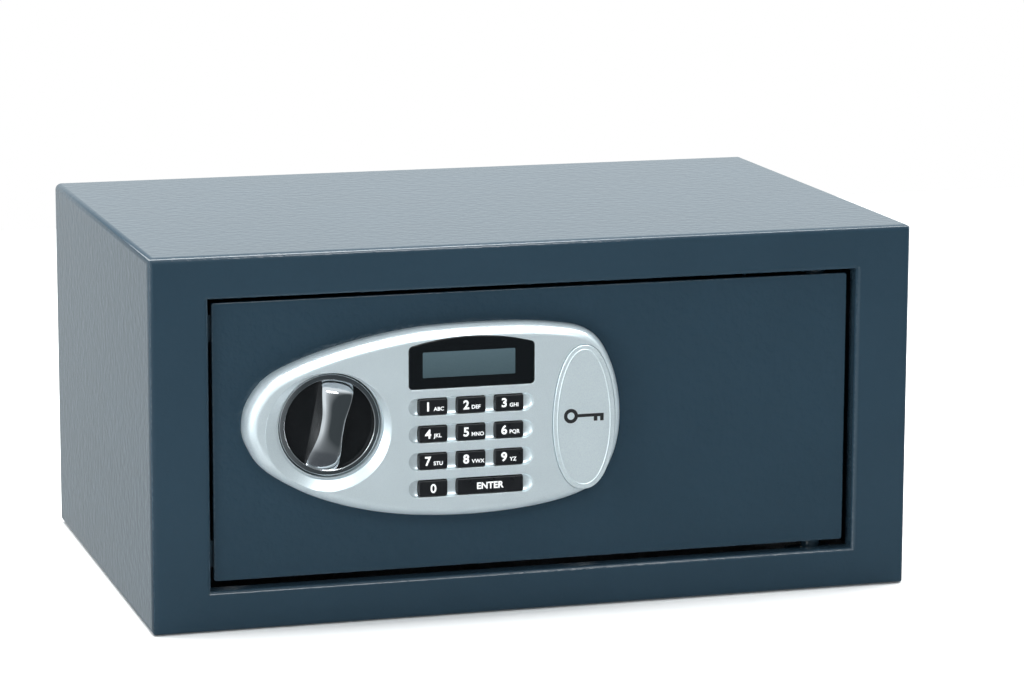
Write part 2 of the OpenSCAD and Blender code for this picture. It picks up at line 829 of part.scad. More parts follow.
module housing_screws() {
    color("gainsboro") for (p = panel_bosses) on_panel(p[0], p[1]) {
        rod_y(0, 0, pilot_r - run_gap, ceiling_y + 1.5, door_back + snug);
        difference() {
            rod_y(0, 0, head_r, door_back + snug, door_back + snug + head_t);
            for (a = [0, 90]) translate([0, door_back + snug + head_t, 0])
                rotate([0, a, 0]) cube([4, 2, 0.9], center = true);
        }
    }
}

// A key at column u and row v, with a flange that holds it behind the face
module key_cap(u, row, w) {
    color([0.05, 0.06, 0.07]) on_panel(u, keys_top_v - row * key_pitch_z) {
        along_y(face_y - key_proud, key_back_y) key_shape(w, 0);
        along_y(ceiling_y + slip, key_back_y) key_shape(w, key_flange);
    }
}

module digit_key(digit) {
    spot = digit == 0 ? 9 : digit - 1;
    key_cap(keys_u + (spot % 3 - 1) * key_pitch_x, floor(spot / 3), key_w);
}

module enter_key() {
    key_cap(keys_u + key_pitch_x / 2, key_rows - 1, enter_w);
}

// ---- Emergency lock ----

module oval_cap() {
    color([0.72, 0.77, 0.8]) translate([lock_x, 0, lock_z])
        along_y(face_y - cap_proud, face_y + pocket_depth - snug) cap_shape(0);
}

module lock_barrel() {
    color("silver") difference() {
        union() {
            rod_y(lock_x, lock_z, barrel_r, barrel_front, barrel_back);
            rod_y(lock_x, lock_z, barrel_flange_r, door_y - snug - barrel_flange_t,
                door_y - snug);
        }
        rod_y(lock_x, lock_z, plug_r + run_gap, barrel_front - 1, barrel_back + 1);
    }
}

module lock_nut() {
    color("gainsboro") translate([lock_x, door_back + snug + 4, lock_z]) rotate([90, 0, 0])
        difference() {
            cylinder(h = 4, r = 14, $fn = 6);
            translate([0, 0, -1]) cylinder(h = 6, r = barrel_r + run_gap);
        }
}

module lock_plug() {
    color("goldenrod") {
        difference() {
            rod_y(lock_x, lock_z, plug_r, barrel_front + 0.2, barrel_back + 0.1);
            block(lock_x - 0.8, lock_x + 0.8, barrel_front - 1, barrel_front + 9,
                lock_z - 3.8, lock_z + 3.2);
        }
        block(lock_x - cam_square / 2, lock_x + cam_square / 2, barrel_back, cam_y + cam_t,
            lock_z - cam_square / 2, lock_z + cam_square / 2);
    }
}

// The cam hangs down and passes over the plunger's collar as the key turns
module lock_cam() {
    gap = cam_square / 2 + run_gap;
    color("silver") {
        difference() {
            union() {
                rod_y(lock_x, lock_z, 8, cam_y, cam_y + cam_t);
                rod_y(lock_x, lock_z - cam_reach + cam_w / 2, cam_w / 2, cam_y, cam_y + cam_t);
                block(lock_x - cam_w / 2, lock_x + cam_w / 2, cam_y, cam_y + cam_t,
                    lock_z - cam_reach + cam_w / 2, lock_z);
            }
            block(lock_x - gap, lock_x + gap, cam_y - 1, cam_y + cam_t + 1, lock_z - gap,
                lock_z + gap);
        }
        rod_y(lock_x, lock_z, 5.5, cam_y + cam_t + snug, cam_y + cam_t + snug + 1.6);
    }
}

// ---- Knob ----

module knob_disc() {
    color([0.05, 0.06, 0.07]) difference() {
        rod_y(knob_x, knob_z, knob_r - knob_ring_wall - snug, disc_y, knob_back);
        rod_y(knob_x, knob_z, spindle_r + 0.02, disc_y - 1, knob_back + 1);
    }
}

// Chrome ring with the grip across it: a foot, a waisted body and a crowned top
module knob_grip() {
    inner_r = knob_r - knob_ring_wall;
    foot_y = disc_y - snug;
    ring_y = knob_back - ring_h;
    top_y = face_y - grip_rise;
    foot_len = inner_r + 0.7;
    crown_len = 13;
    flank_y = ring_y + 0.5;
    color([0.82, 0.84, 0.86]) translate([knob_x, 0, knob_z]) {
        difference() {
            rod_y(0, 0, knob_r, ring_y, knob_back);
            rod_y(0, 0, inner_r, ring_y - 1, knob_back + 1);
        }
        rotate([0, grip_lean, 0]) hull() {
            block(-grip_w / 2, grip_w / 2, flank_y, foot_y, -foot_len, foot_len);
            block(-grip_w / 3, grip_w / 3, top_y + 1.5, foot_y, -crown_len, crown_len);
            block(-grip_w / 4, grip_w / 4, top_y, foot_y, -crown_len / 2, crown_len / 2);
        }
    }
}

module knob_spindle() {
    color("gainsboro") rod_y(knob_x, knob_z, spindle_r, disc_y + snug, spindle_back);
}

module spindle_bush() {
    color([0.85, 0.83, 0.75]) difference() {
        union() {
            rod_y(knob_x, knob_z, bush_r, door_y + snug, door_back + snug);
            rod_y(knob_x, knob_z, bush_flange_r, door_back + snug,
                door_back + snug + bush_flange_t);
        }
        rod_y(knob_x, knob_z, spindle_r + run_gap, door_y - 1, door_back + 5);
    }
}

module spindle_clip() {
    y = door_back + snug + bush_flange_t + slip;
    color("dimgray") difference() {
        rod_y(knob_x, knob_z, clip_r, y, y + clip_t);
        rod_y(knob_x, knob_z, spindle_r + run_gap, y - 1, y + clip_t + 1);
        block(knob_x - 2, knob_x + 2, y - 1, y + clip_t + 1, knob_z, knob_z + clip_r + 1);
    }
}

module knob_crank() {
    y0 = carriage_y - 1 - crank_t;
    px = knob_x + pin_dx;
    pz = knob_z - pin_dz;
    color("silver") {
        difference() {
            union() {
                rod_y(knob_x, knob_z, crank_hub_r, y0, y0 + crank_t);
                rod_y(px, pz, crank_arm_w / 2, y0, y0 + crank_t);
                translate([knob_x, 0, knob_z]) rotate([0, 180 - knob_turn / 2, 0])
                    block(-crank_arm_w / 2, crank_arm_w / 2, y0, y0 + crank_t, 0, crank_len);
            }
            rod_y(knob_x, knob_z, spindle_r + 0.02, y0 - 1, spindle_back + 0.05);
        }
        rod_y(px, pz, crank_pin_r, y0 + crank_t - eps, carriage_y + carriage_t + 1.5);
    }
}

// ---- Bolt work ----

module slot_y(x0, x1, z, half, y0, y1) {
    block(x0, x1, y0, y1, z - half, z + half);
    for (x = [x0, x1]) rod_y(x, z, half, y0, y1);
}

module bolt_carriage() {
    y0 = carriage_y;
    y1 = carriage_y + carriage_t;
    main_r = guide_x + throw + 12;
    tail_r = plunger_x + throw + 9;
    pin_half = crank_pin_r + yoke_gap;
    stud_half = guide_stud_r + slip;
    notch_half = plunger_r + notch_gap;
    color("silver") difference() {
        union() {
            block(flange_x, main_r, y0, y1, carriage_b, carriage_top);
            block(main_r - 1, tail_r, y0, y1, carriage_b, carriage_b + tail_h);
            block(flange_x, flange_x + flange_t, bolt_y - 6, y1, bolt_lo - 10, bolt_hi + 10);
        }
        block(knob_x + pin_dx - pin_half, knob_x + pin_dx + pin_half, y0 - 1, y1 + 1,
            knob_z - crank_len - crank_pin_r - 1.5, knob_z - pin_dz + crank_pin_r + 1.5);
        for (z = guide_z) slot_y(guide_x, guide_x + throw, z, stud_half, y0 - 1, y1 + 1);
        for (x = [plunger_x, plunger_x + throw])
            block(x - notch_half, x + notch_half, y0 - 1, y1 + 1, carriage_b - 1,
                carriage_b + notch_depth);
        for (z = [bolt_lo, bolt_hi])
            rod_x(bolt_y, z, stud_r + snug, flange_x - 1, flange_x + flange_t + 1);
    }
}

module locking_bolts() {
    chamfer = 2;
    end = flange_x - snug;
    color([0.8, 0.81, 0.82]) for (z = [bolt_lo, bolt_hi]) {
        rod_x(bolt_y, z, bolt_r, bolt_tip + chamfer, end);
        translate([bolt_tip, bolt_y, z]) rotate([0, 90, 0])
            cylinder(h = chamfer, r1 = bolt_r - chamfer, r2 = bolt_r);
        rod_x(bolt_y, z, stud_r, end - eps, flange_x + flange_t + stud_over);
    }
}

module bolt_nuts() {
    x = flange_x + flange_t + snug;
    color("gainsboro") for (z = [bolt_lo, bolt_hi]) translate([x, bolt_y, z])
        rotate([0, 90, 0]) difference() {
            cylinder(h = nut_t, r = nut_r, $fn = 6);
            translate([0, 0, -1]) cylinder(h = nut_t + 2, r = stud_r + run_gap);
        }
}

module solenoid() {
    s = solenoid_size;
    x0 = plunger_x - s[0] / 2;
    y0 = plunger_y - s[1] / 2;
    color([0.3, 0.32, 0.35]) difference() {
        union() {
            block(x0, x0 + s[0], y0, y0 + s[1], solenoid_top - s[2], solenoid_top);
            for (z = [solenoid_top - s[2], solenoid_top - 3])
                block(x0, x0 + s[0], door_back + snug, y0 + 1, z, z + 3);
        }
        rod_z(plunger_x, plunger_y, plunger_r + run_gap, solenoid_top - s[2] + 3,
            solenoid_top + 1);
    }
}

module solenoid_plunger() {
    foot = solenoid_top - solenoid_size[2] + 4;
    color("gainsboro") {
        rod_z(plunger_x, plunger_y, plunger_r, foot, plunger_tip);
        rod_z(plunger_x, plunger_y, collar_r, collar_top - collar_t, collar_top);
    }
}

module solenoid_spring() {
    steps = 16;
    rise = coil_len - 2 * coil_wire_r - 0.3;
    path = [for (i = [0 : coil_turns * steps])
        [plunger_x + coil_r * cos(360 * i / steps), plunger_y + coil_r * sin(360 * i / steps),
            solenoid_top + 0.15 + coil_wire_r + rise * i / (coil_turns * steps)]];
    color("lightgray") swept_tube(path, coil_wire_r, 6);
}

// ---- Power, wiring and reset ----

module reset_switch() {
    front = cover_back - cover_wall - slip - 1.5 - reset_travel - slip;
    color([0.1, 0.1, 0.12]) {
        block(reset_x - 6.5, reset_x + 6.5, front - 6, front, reset_z - 6.5, reset_z + 6.5);
        block(reset_x - 3, reset_x + 3, door_back + snug, front - 6 + eps, reset_z - 3,
            reset_z + 3);
    }
}

module reset_button() {
    inside = cover_back - cover_wall - slip;
    color([0.7, 0.12, 0.1]) {
        rod_y(reset_x, reset_z, reset_r, inside - 1, reset_back);
        rod_y(reset_x, reset_z, reset_flange_r, inside - 1.5, inside);
    }
}

module wire_grommet() {
    bore = 3.8;
    color([0.08, 0.08, 0.08]) difference() {
        union() {
            rod_y(wire_x, wire_z, grommet_r - snug, door_y - snug - 1, door_back + snug + 1.5);
            rod_y(wire_x, wire_z, grommet_r + 2, door_back + snug, door_back + snug + 1.5);
        }
        rod_y(wire_x, wire_z, bore, door_y - 3, door_back + 3);
    }
}

// Route points are measured from the grommet, at the door's rear face
module lead(route, shade) {
    path = [for (p = route) [wire_x + p[0], door_back + p[1], wire_z + p[2]]];
    color(shade) swept_tube(path, wire_r, 8);
}

module battery_lead() {
    lead(battery_route, [0.6, 0.1, 0.1]);
}

module solenoid_lead() {
    lead(solenoid_route, [0.1, 0.1, 0.1]);
}

body_shell();
back_plate();
hinge_seat_upper();
hinge_seat_lower();
hinge_washer();
door_stops();
floor_mat();
door_plate();
hinge_arms();
hinge_pins();
bolt_guide();
guide_studs();
cover_posts();
inner_cover();
cover_screws();
battery_box();
batteries();
battery_contacts();
battery_lid();
keypad_housing();
display_lens();
display_panel();
circuit_board();
key_mat();
board_screws();
housing_screws();
oval_cap();
lock_barrel();
lock_nut();
lock_plug();
lock_cam();
knob_disc();
knob_grip();
knob_spindle();
spindle_bush();
spindle_clip();
knob_crank();
bolt_carriage();
locking_bolts();
bolt_nuts();
solenoid();
solenoid_plunger();
solenoid_spring();
reset_switch();
reset_button();
wire_grommet();
battery_lead();
solenoid_lead();
digit_key(1);  // key_1
digit_key(2);  // key_2
digit_key(3);  // key_3
digit_key(4);  // key_4
digit_key(5);  // key_5
digit_key(6);  // key_6
digit_key(7);  // key_7
digit_key(8);  // key_8
digit_key(9);  // key_9
digit_key(0);  // key_0
enter_key();  // key_enter
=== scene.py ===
"""An in-room safe: its looks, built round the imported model. Metres, +Z up, the front faces -Y."""
import json
import math

import bmesh
import bpy
from mathutils import Matrix, Vector, noise


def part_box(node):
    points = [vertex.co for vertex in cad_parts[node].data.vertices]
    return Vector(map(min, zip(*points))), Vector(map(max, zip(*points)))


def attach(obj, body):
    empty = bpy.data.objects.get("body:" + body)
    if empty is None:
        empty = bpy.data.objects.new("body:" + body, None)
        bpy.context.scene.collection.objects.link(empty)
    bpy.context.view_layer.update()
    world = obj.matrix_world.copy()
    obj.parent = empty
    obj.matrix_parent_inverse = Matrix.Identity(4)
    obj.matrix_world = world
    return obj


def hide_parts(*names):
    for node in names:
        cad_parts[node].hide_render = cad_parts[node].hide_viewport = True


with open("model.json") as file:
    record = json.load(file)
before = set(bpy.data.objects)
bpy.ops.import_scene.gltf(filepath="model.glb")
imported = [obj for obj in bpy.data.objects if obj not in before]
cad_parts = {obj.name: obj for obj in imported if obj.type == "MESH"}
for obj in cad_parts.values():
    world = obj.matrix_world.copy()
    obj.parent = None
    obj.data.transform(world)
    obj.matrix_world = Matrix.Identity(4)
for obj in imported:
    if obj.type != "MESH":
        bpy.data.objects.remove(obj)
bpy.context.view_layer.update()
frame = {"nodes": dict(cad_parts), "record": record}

MM = 0.001


def new_object(name, data):
    """An object in the scene."""
    made = bpy.data.objects.new(name, data)
    bpy.context.scene.collection.objects.link(made)
    return made


# ---- Places taken from the frame ----


def extent(points):
    """Lowest and highest corner of the box round some points."""
    return [Vector([pick(p[i] for p in points) for i in range(3)]) for pick in (min, max)]


def middle(node):
    low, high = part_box(node)
    return (low + high) / 2


def centre_xz(box):
    """Centre of a box in the front view."""
    return (box[0].x + box[1].x) / 2, (box[0].z + box[1].z) / 2


def solids(node):
    """Boxes of the separate solids in a node, from left to right."""
    mesh = bmesh.new()
    mesh.from_mesh(frame["nodes"][node].data)
    bmesh.ops.remove_doubles(mesh, verts=mesh.verts, dist=0.01 * MM)
    left, found = set(mesh.verts), []
    while left:
        wave = [left.pop()]
        group = list(wave)
        while wave:
            near = {e.other_vert(v) for v in wave for e in v.link_edges} & left
            left -= near
            wave = list(near)
            group += wave
        found.append(extent([v.co for v in group]))
    mesh.free()
    return sorted(found, key=lambda b: (b[0].x + b[1].x, b[0].z))


PANEL_FROM_EDGE = 118 * MM
PANEL_FROM_BOTTOM = 80.5 * MM

door_low, door_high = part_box("door_plate")
cover_low, cover_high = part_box("inner_cover")
lens_low, lens_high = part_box("display_lens")
knob = middle("knob_spindle")
lock = middle("lock_barrel")
face_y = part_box("keypad_housing")[0].y
door_y = door_low.y
door_back = door_high.y
panel_x = door_low.x + PANEL_FROM_EDGE
panel_z = door_low.z + PANEL_FROM_BOTTOM

# ---- Camera, floor and light ----

VIEW_TURN = math.radians(-16.52)
VIEW_RISE = math.radians(10.83)
VIEW_ROLL = math.radians(0.19)
VIEW_DISTANCE = 2.0746
VIEW_TARGET = Vector((-0.01536, -0.135, 0.14572))
LENS = 138.19
FLOOR_REACH = 1.2
DARK_SIDE = Vector((0.6, -0.79, -0.12))


def make_camera():
    back = Vector((math.sin(VIEW_TURN) * math.cos(VIEW_RISE),
                   -math.cos(VIEW_TURN) * math.cos(VIEW_RISE), math.sin(VIEW_RISE)))
    across = Vector((0, 0, 1)).cross(back).normalized()
    up = back.cross(across)
    right = across * math.cos(VIEW_ROLL) + up * math.sin(VIEW_ROLL)
    top = up * math.cos(VIEW_ROLL) - across * math.sin(VIEW_ROLL)
    data = bpy.data.cameras.new("camera")
    data.lens = LENS
    camera = new_object("camera", data)
    camera.matrix_world = Matrix.Translation(VIEW_TARGET + back * VIEW_DISTANCE) @ Matrix(
        (right, top, back)).transposed().to_4x4()
    bpy.context.scene.camera = camera


def area_light(name, place, target, size, power):
    data = bpy.data.lights.new(name, "AREA")
    data.shape = "RECTANGLE"
    data.size, data.size_y = size
    data.energy = power
    light = new_object(name, data)
    light.location = place
    light.rotation_euler = (Vector(place) - Vector(target)).to_track_quat("Z", "Y").to_euler()


def make_world():
    """White all round and above, a little less so below, but for a dark room before the object."""
    world = bpy.data.worlds.new("studio")
    world.use_nodes = True
    tree = world.node_tree
    way = tree.nodes.new("ShaderNodeTexCoord").outputs["Generated"]
    split = add(tree, "ShaderNodeSeparateXYZ", Vector=way)
    dark = remap(tree, vector_math(tree, "DOT_PRODUCT", way, DARK_SIDE), 0.5, 0.86)
    sky = mix_colour(tree, remap(tree, split.outputs["Z"], -0.9, 0.1), (0.08, 0.09, 0.1, 1),
                     (0.83, 0.89, 0.91, 1))
    seen = mix_colour(tree, dark, sky, (0.05, 0.06, 0.065, 1))
    on_camera = tree.nodes.new("ShaderNodeLightPath").outputs["Is Camera Ray"]
    background = tree.nodes["Background"]
    plug(tree, background.inputs["Color"], mix_colour(tree, on_camera, seen, (1, 1, 1, 1)))
    bpy.context.scene.world = world


def make_floor():
    floor = new_object("floor", bpy.data.meshes.new("floor"))
    corners = [(x * FLOOR_REACH, y * FLOOR_REACH, 0)
               for x, y in ((-1, -1), (1, -1), (1, 1), (-1, 1))]
    floor.data.from_pydata(corners, [], [(0, 1, 2, 3)])
    pale = bpy.data.materials.new("floor_pale")
    pale.use_nodes = True
    shader = pale.node_tree.nodes["Principled BSDF"]
    shader.inputs["Base Color"].default_value = (0.88, 0.88, 0.88, 1)
    shader.inputs["Roughness"].default_value = 0.9
    floor.data.materials.append(pale)
    floor.visible_glossy = False


def make_studio():
    bpy.context.scene.view_settings.view_transform = "Standard"
    make_world()
    make_floor()
    area_light("overhead", (0.15, 0.15, 1.4), (0.15, 0, 0.1), (2.2, 0.7), 52)
    area_light("left", (-1.5, -0.9, 0.7), (0, 0, 0.1), (0.4, 1.0), 9)
    area_light("front", (0.3, -1.9, 1.5), (0, 0, 0.1), (0.9, 0.5), 11)


# ---- Shader groups ----


def add(tree, kind, **inputs):
    """A node with its inputs set; a value may be an output socket, which is linked."""
    node = tree.nodes.new(kind)
    for key, value in inputs.items():
        plug(tree, node.inputs[key.replace("_", " ")], value)
    return node


def plug(tree, socket, value):
    if isinstance(value, bpy.types.NodeSocket):
        tree.links.new(value, socket)
    else:
        socket.default_value = value


def math_node(tree, operation, a, b=0.0):
    node = tree.nodes.new("ShaderNodeMath")
    node.operation = operation
    plug(tree, node.inputs[0], a)
    plug(tree, node.inputs[1], b)
    return node.outputs[0]


def vector_math(tree, operation, a, b):
    node = tree.nodes.new("ShaderNodeVectorMath")
    node.operation = operation
    plug(tree, node.inputs[0], a)
    plug(tree, node.inputs[1], b)
    return node.outputs["Value" if operation == "DOT_PRODUCT" else "Vector"]


def remap(tree, value, low, high, to_low=0.0, to_high=1.0):
    node = add(tree, "ShaderNodeMapRange", Value=value, From_Min=low, From_Max=high,
               To_Min=to_low, To_Max=to_high)
    return node.outputs["Result"]


def mix_colour(tree, share, a, b):
    node = tree.nodes.new("ShaderNodeMix")
    node.data_type = "RGBA"
    plug(tree, node.inputs[0], share)
    plug(tree, node.inputs[6], a)
    plug(tree, node.inputs[7], b)
    return node.outputs[2]


def new_group(name, inputs, outputs):
    tree = bpy.data.node_groups.new(name, "ShaderNodeTree")
    for label, kind, value in inputs:
        socket = tree.interface.new_socket(label, in_out="INPUT", socket_type=kind)
        socket.default_value = value
    for label, kind in outputs:
        tree.interface.new_socket(label, in_out="OUTPUT", socket_type=kind)
    start, end = tree.nodes.new("NodeGroupInput"), tree.nodes.new("NodeGroupOutput")
    return tree, start.outputs, end.inputs


def object_place(tree):
    return tree.nodes.new("ShaderNodeTexCoord").outputs["Object"]


def make_peel_group():
    """Orange peel of sprayed or powder-coated paint: soft dimples, Cell metres across."""
    tree, given, out = new_group("orange_peel", [("Cell", "NodeSocketFloat", 0.001)],
                                 [("Height", "NodeSocketFloat")])
    scale = math_node(tree, "DIVIDE", 1.0, given["Cell"])
    spot = object_place(tree)
    soft = add(tree, "ShaderNodeTexNoise", Vector=spot, Scale=scale, Detail=1.0, Roughness=0.4)
    half = math_node(tree, "MULTIPLY", scale, 0.37)
    wide = add(tree, "ShaderNodeTexNoise", Vector=spot, Scale=half, Detail=0.0)
    both = math_node(tree, "MULTIPLY", wide.outputs["Fac"], 1.3)
    plug(tree, out["Height"], math_node(tree, "ADD", both, soft.outputs["Fac"]))
    return tree


def make_wear_group():
    """Mask of outside edges within Width, broken up in specks; it marks edge wear, and on the
    powder coat it also carries a painted highlight.
    """
    tree, given, out = new_group("edge_wear_and_highlight", [("Width", "NodeSocketFloat", 0.0006),
                                               ("Breaks", "NodeSocketFloat", 400.0)],
                                 [("Mask", "NodeSocketFloat")])
    bevel = tree.nodes.new("ShaderNodeBevel")
    bevel.samples = 4
    plug(tree, bevel.inputs["Radius"], given["Width"])
    normal = tree.nodes.new("ShaderNodeNewGeometry").outputs["Normal"]
    edge = remap(tree, vector_math(tree, "DOT_PRODUCT", bevel.outputs["Normal"], normal),
                 0.995, 0.9)
    speck = add(tree, "ShaderNodeTexNoise", Vector=object_place(tree), Scale=given["Breaks"],
                Detail=3.0)
    broken = remap(tree, speck.outputs["Fac"], 0.45, 0.62)
    plug(tree, out["Mask"], math_node(tree, "MULTIPLY", edge, broken))
    return tree


def make_grain_group():
    """Grain, stretched by Stretch, as Size metres wide: fine moulding grain, or brushed lines."""
    tree, given, out = new_group("grain", [("Size", "NodeSocketFloat", 0.0005),
                                           ("Stretch", "NodeSocketVector", (1, 1, 1)),
                                           ("Detail", "NodeSocketFloat", 2.0)],
                                 [("Value", "NodeSocketFloat")])
    stretched = vector_math(tree, "MULTIPLY", object_place(tree), given["Stretch"])
    scale = math_node(tree, "DIVIDE", 1.0, given["Size"])
    pattern = add(tree, "ShaderNodeTexNoise", Vector=stretched, Scale=scale,
                  Detail=given["Detail"])
    plug(tree, out["Value"], pattern.outputs["Fac"])
    return tree


PEEL, WEAR_AND_HIGHLIGHT, GRAIN = make_peel_group(), make_wear_group(), make_grain_group()


def group_node(tree, group, **inputs):
    node = tree.nodes.new("ShaderNodeGroup")
    node.node_tree = group
    for key, value in inputs.items():
        plug(tree, node.inputs[key], value)
    return node.outputs[0]


def start_material(name, **values):
    material = bpy.data.materials.new(name)
    material.use_nodes = True
    shader = material.node_tree.nodes["Principled BSDF"]
    for key, value in values.items():
        shader.inputs[key.replace("_", " ")].default_value = value
    return material, material.node_tree, shader


def paint(tree, shader, share, a, b):
    """Base colour that goes from a to b with share."""
    plug(tree, shader.inputs["Base Color"], mix_colour(tree, share, a, b))


def roughen(tree, shader, mask, low, high):
    """Roughness that follows the middle of a noise mask."""
    plug(tree, shader.inputs["Roughness"], remap(tree, mask, 0.3, 0.7, low, high))


def bump(tree, shader, height, distance):
    """Small relief, as deep as distance where height is 1."""
    node = add(tree, "ShaderNodeBump", Height=height, Distance=distance, Strength=1.0)
    plug(tree, shader.inputs["Normal"], node.outputs["Normal"])


def shade(colour, share):
    return tuple(c * share for c in colour[:3]) + (1,)


make_camera()
make_studio()

# ---- Finishes ----


def powder_coat(name, colour, rough, cell, depth):
    """Semi-gloss powder coat with orange peel, thinner and paler on its edges, where the paleness
    is partly wear and partly a painted highlight.
    """
    material, tree, shader = start_material(name, IOR=1.5)
    tone = group_node(tree, GRAIN, Size=0.05, Detail=3.0)
    base = mix_colour(tree, remap(tree, tone, 0.3, 0.7), shade(colour, 0.97), shade(colour, 1.03))
    # Paler broken edges: partly wear on the thinner coat, partly a painted highlight.
    edge_mask = group_node(tree, WEAR_AND_HIGHLIGHT, Width=0.0009, Breaks=500.0)
    paint(tree, shader, math_node(tree, "MULTIPLY", edge_mask, 0.35), base, (0.16, 0.2, 0.23, 1))
    patch = group_node(tree, GRAIN, Size=0.004, Detail=2.0)
    roughen(tree, shader, patch, rough - 0.015, rough + 0.02)
    peel = group_node(tree, PEEL, Cell=cell)
    bump(tree, shader, peel, depth)
    return material


def silver_lacquer(name, colour, rough):
    """Silver lacquer on moulded plastic: fine flakes under a satin coat."""
    material, tree, shader = start_material(name, Metallic=0.64, Coat_Weight=0.25,
                                            Coat_Roughness=0.12)
    flake = group_node(tree, GRAIN, Size=0.00035, Detail=1.0)
    base = mix_colour(tree, remap(tree, flake, 0.35, 0.65), shade(colour, 0.94),
                      shade(colour, 1.04))
    edge_mask = group_node(tree, WEAR_AND_HIGHLIGHT, Width=0.0004, Breaks=900.0)
    paint(tree, shader, math_node(tree, "MULTIPLY", edge_mask, 0.2), base, shade(colour, 0.75))
    patch = group_node(tree, GRAIN, Size=0.02, Detail=3.0)
    roughen(tree, shader, patch, rough - 0.02, rough + 0.04)
    bump(tree, shader, flake, 0.000012)
    return material


def chrome_plate(name):
    """Bright chrome with a few faint smears."""
    material, tree, shader = start_material(name, Metallic=1.0)
    smear = group_node(tree, GRAIN, Size=0.008, Stretch=(1, 1, 0.4), Detail=4.0)
    paint(tree, shader, smear, (0.74, 0.76, 0.79, 1), (0.86, 0.88, 0.9, 1))
    plug(tree, shader.inputs["Roughness"], remap(tree, smear, 0.4, 0.8, 0.05, 0.16))
    wave = group_node(tree, GRAIN, Size=0.006, Detail=0.0)
    bump(tree, shader, wave, 0.00004)
    return material


def moulded(name, colour, rough, grain, depth, **values):
    """Moulded plastic or rubber with a spark-eroded grain and a little rub on its edges."""
    material, tree, shader = start_material(name, **values)
    tone = group_node(tree, GRAIN, Size=0.006, Detail=3.0)
    base = mix_colour(tree, remap(tree, tone, 0.3, 0.7), shade(colour, 0.88), shade(colour, 1.12))
    edge_mask = group_node(tree, WEAR_AND_HIGHLIGHT, Width=0.0004, Breaks=900.0)
    rubbed = tuple(min(1, c * 1.6 + 0.03) for c in colour[:3]) + (1,)
    paint(tree, shader, math_node(tree, "MULTIPLY", edge_mask, 0.4), base, rubbed)
    roughen(tree, shader, tone, rough - 0.04, rough + 0.05)
    fine = group_node(tree, GRAIN, Size=grain, Detail=1.0)
    bump(tree, shader, fine, depth)
    return material


def plated(name, colour, rough, patch_size=0.004):
    """Zinc plate: patches of slightly different grey, and rolling lines beneath."""
    material, tree, shader = start_material(name, Metallic=1.0)
    patch = group_node(tree, GRAIN, Size=patch_size, Detail=2.0)
    base = mix_colour(tree, remap(tree, patch, 0.35, 0.65), shade(colour, 0.8), colour)
    edge_mask = group_node(tree, WEAR_AND_HIGHLIGHT, Width=0.0004, Breaks=700.0)
    paint(tree, shader, math_node(tree, "MULTIPLY", edge_mask, 0.6), base, shade(colour, 1.25))
    roughen(tree, shader, patch, rough - 0.06, rough + 0.1)
    lines = group_node(tree, GRAIN, Size=0.0004, Stretch=(1, 1, 0.06), Detail=2.0)
    bump(tree, shader, lines, 0.00001)
    return material


def turned_metal(name, colour, rough, stretch):
    """Turned or ground metal with fine lines across its length."""
    material, tree, shader = start_material(name, Metallic=1.0)
    lines = group_node(tree, GRAIN, Size=0.004, Stretch=stretch, Detail=3.0)
    paint(tree, shader, remap(tree, lines, 0.3, 0.7), shade(colour, 0.82), colour)
    roughen(tree, shader, lines, rough - 0.05, rough + 0.08)
    bump(tree, shader, lines, 0.00002)
    return material


def gloss_lens(name, colour, rough):
    """Glossy acrylic with very fine scratches and a trace of dust."""
    material, tree, shader = start_material(name, IOR=1.49, Coat_Weight=0.3, Coat_Roughness=0.03)
    dust = group_node(tree, GRAIN, Size=0.0006, Detail=4.0)
    paint(tree, shader, remap(tree, dust, 0.66, 0.8), colour, shade(colour, 3.0))
    scratch = group_node(tree, GRAIN, Size=0.003, Stretch=(0.15, 1, 2.0), Detail=4.0)
    plug(tree, shader.inputs["Roughness"], remap(tree, scratch, 0.55, 0.75, rough, rough + 0.08))
    return material


def display_window(name):
    """Switched-off liquid-crystal glass, a little paler towards its top edge, which is a painted
    reflection of the light from above.
    """
    material, tree, shader = start_material(name, IOR=1.49, Coat_Weight=0.4, Coat_Roughness=0.05)
    split = add(tree, "ShaderNodeSeparateXYZ", Vector=object_place(tree))
    # Painted reflection of the light from above: paler towards the top of the glass.
    rise = remap(tree, split.outputs["Z"], lens_low.z, lens_high.z)
    cells = group_node(tree, GRAIN, Size=0.0003, Detail=1.0)
    top_sheen_and_cells = math_node(tree, "ADD", rise, math_node(tree, "MULTIPLY", cells, 0.2))
    paint(tree, shader, top_sheen_and_cells, (0.028, 0.052, 0.062, 1), (0.065, 0.105, 0.125, 1))
    roughen(tree, shader, cells, 0.25, 0.32)
    return material


def board_green(name):
    """Solder resist over copper tracks."""
    material, tree, shader = start_material(name, Coat_Weight=0.3, Coat_Roughness=0.15)
    tracks = add(tree, "ShaderNodeTexBrick", Vector=object_place(tree), Scale=140.0,
                 Mortar_Size=0.06, Color1=(0.012, 0.09, 0.03, 1), Color2=(0.016, 0.11, 0.04, 1),
                 Mortar=(0.03, 0.2, 0.07, 1))
    plug(tree, shader.inputs["Base Color"], tracks.outputs["Color"])
    plug(tree, shader.inputs["Roughness"], remap(tree, tracks.outputs["Fac"], 0, 1, 0.35, 0.28))
    bump(tree, shader, tracks.outputs["Fac"], 0.00003)
    return material


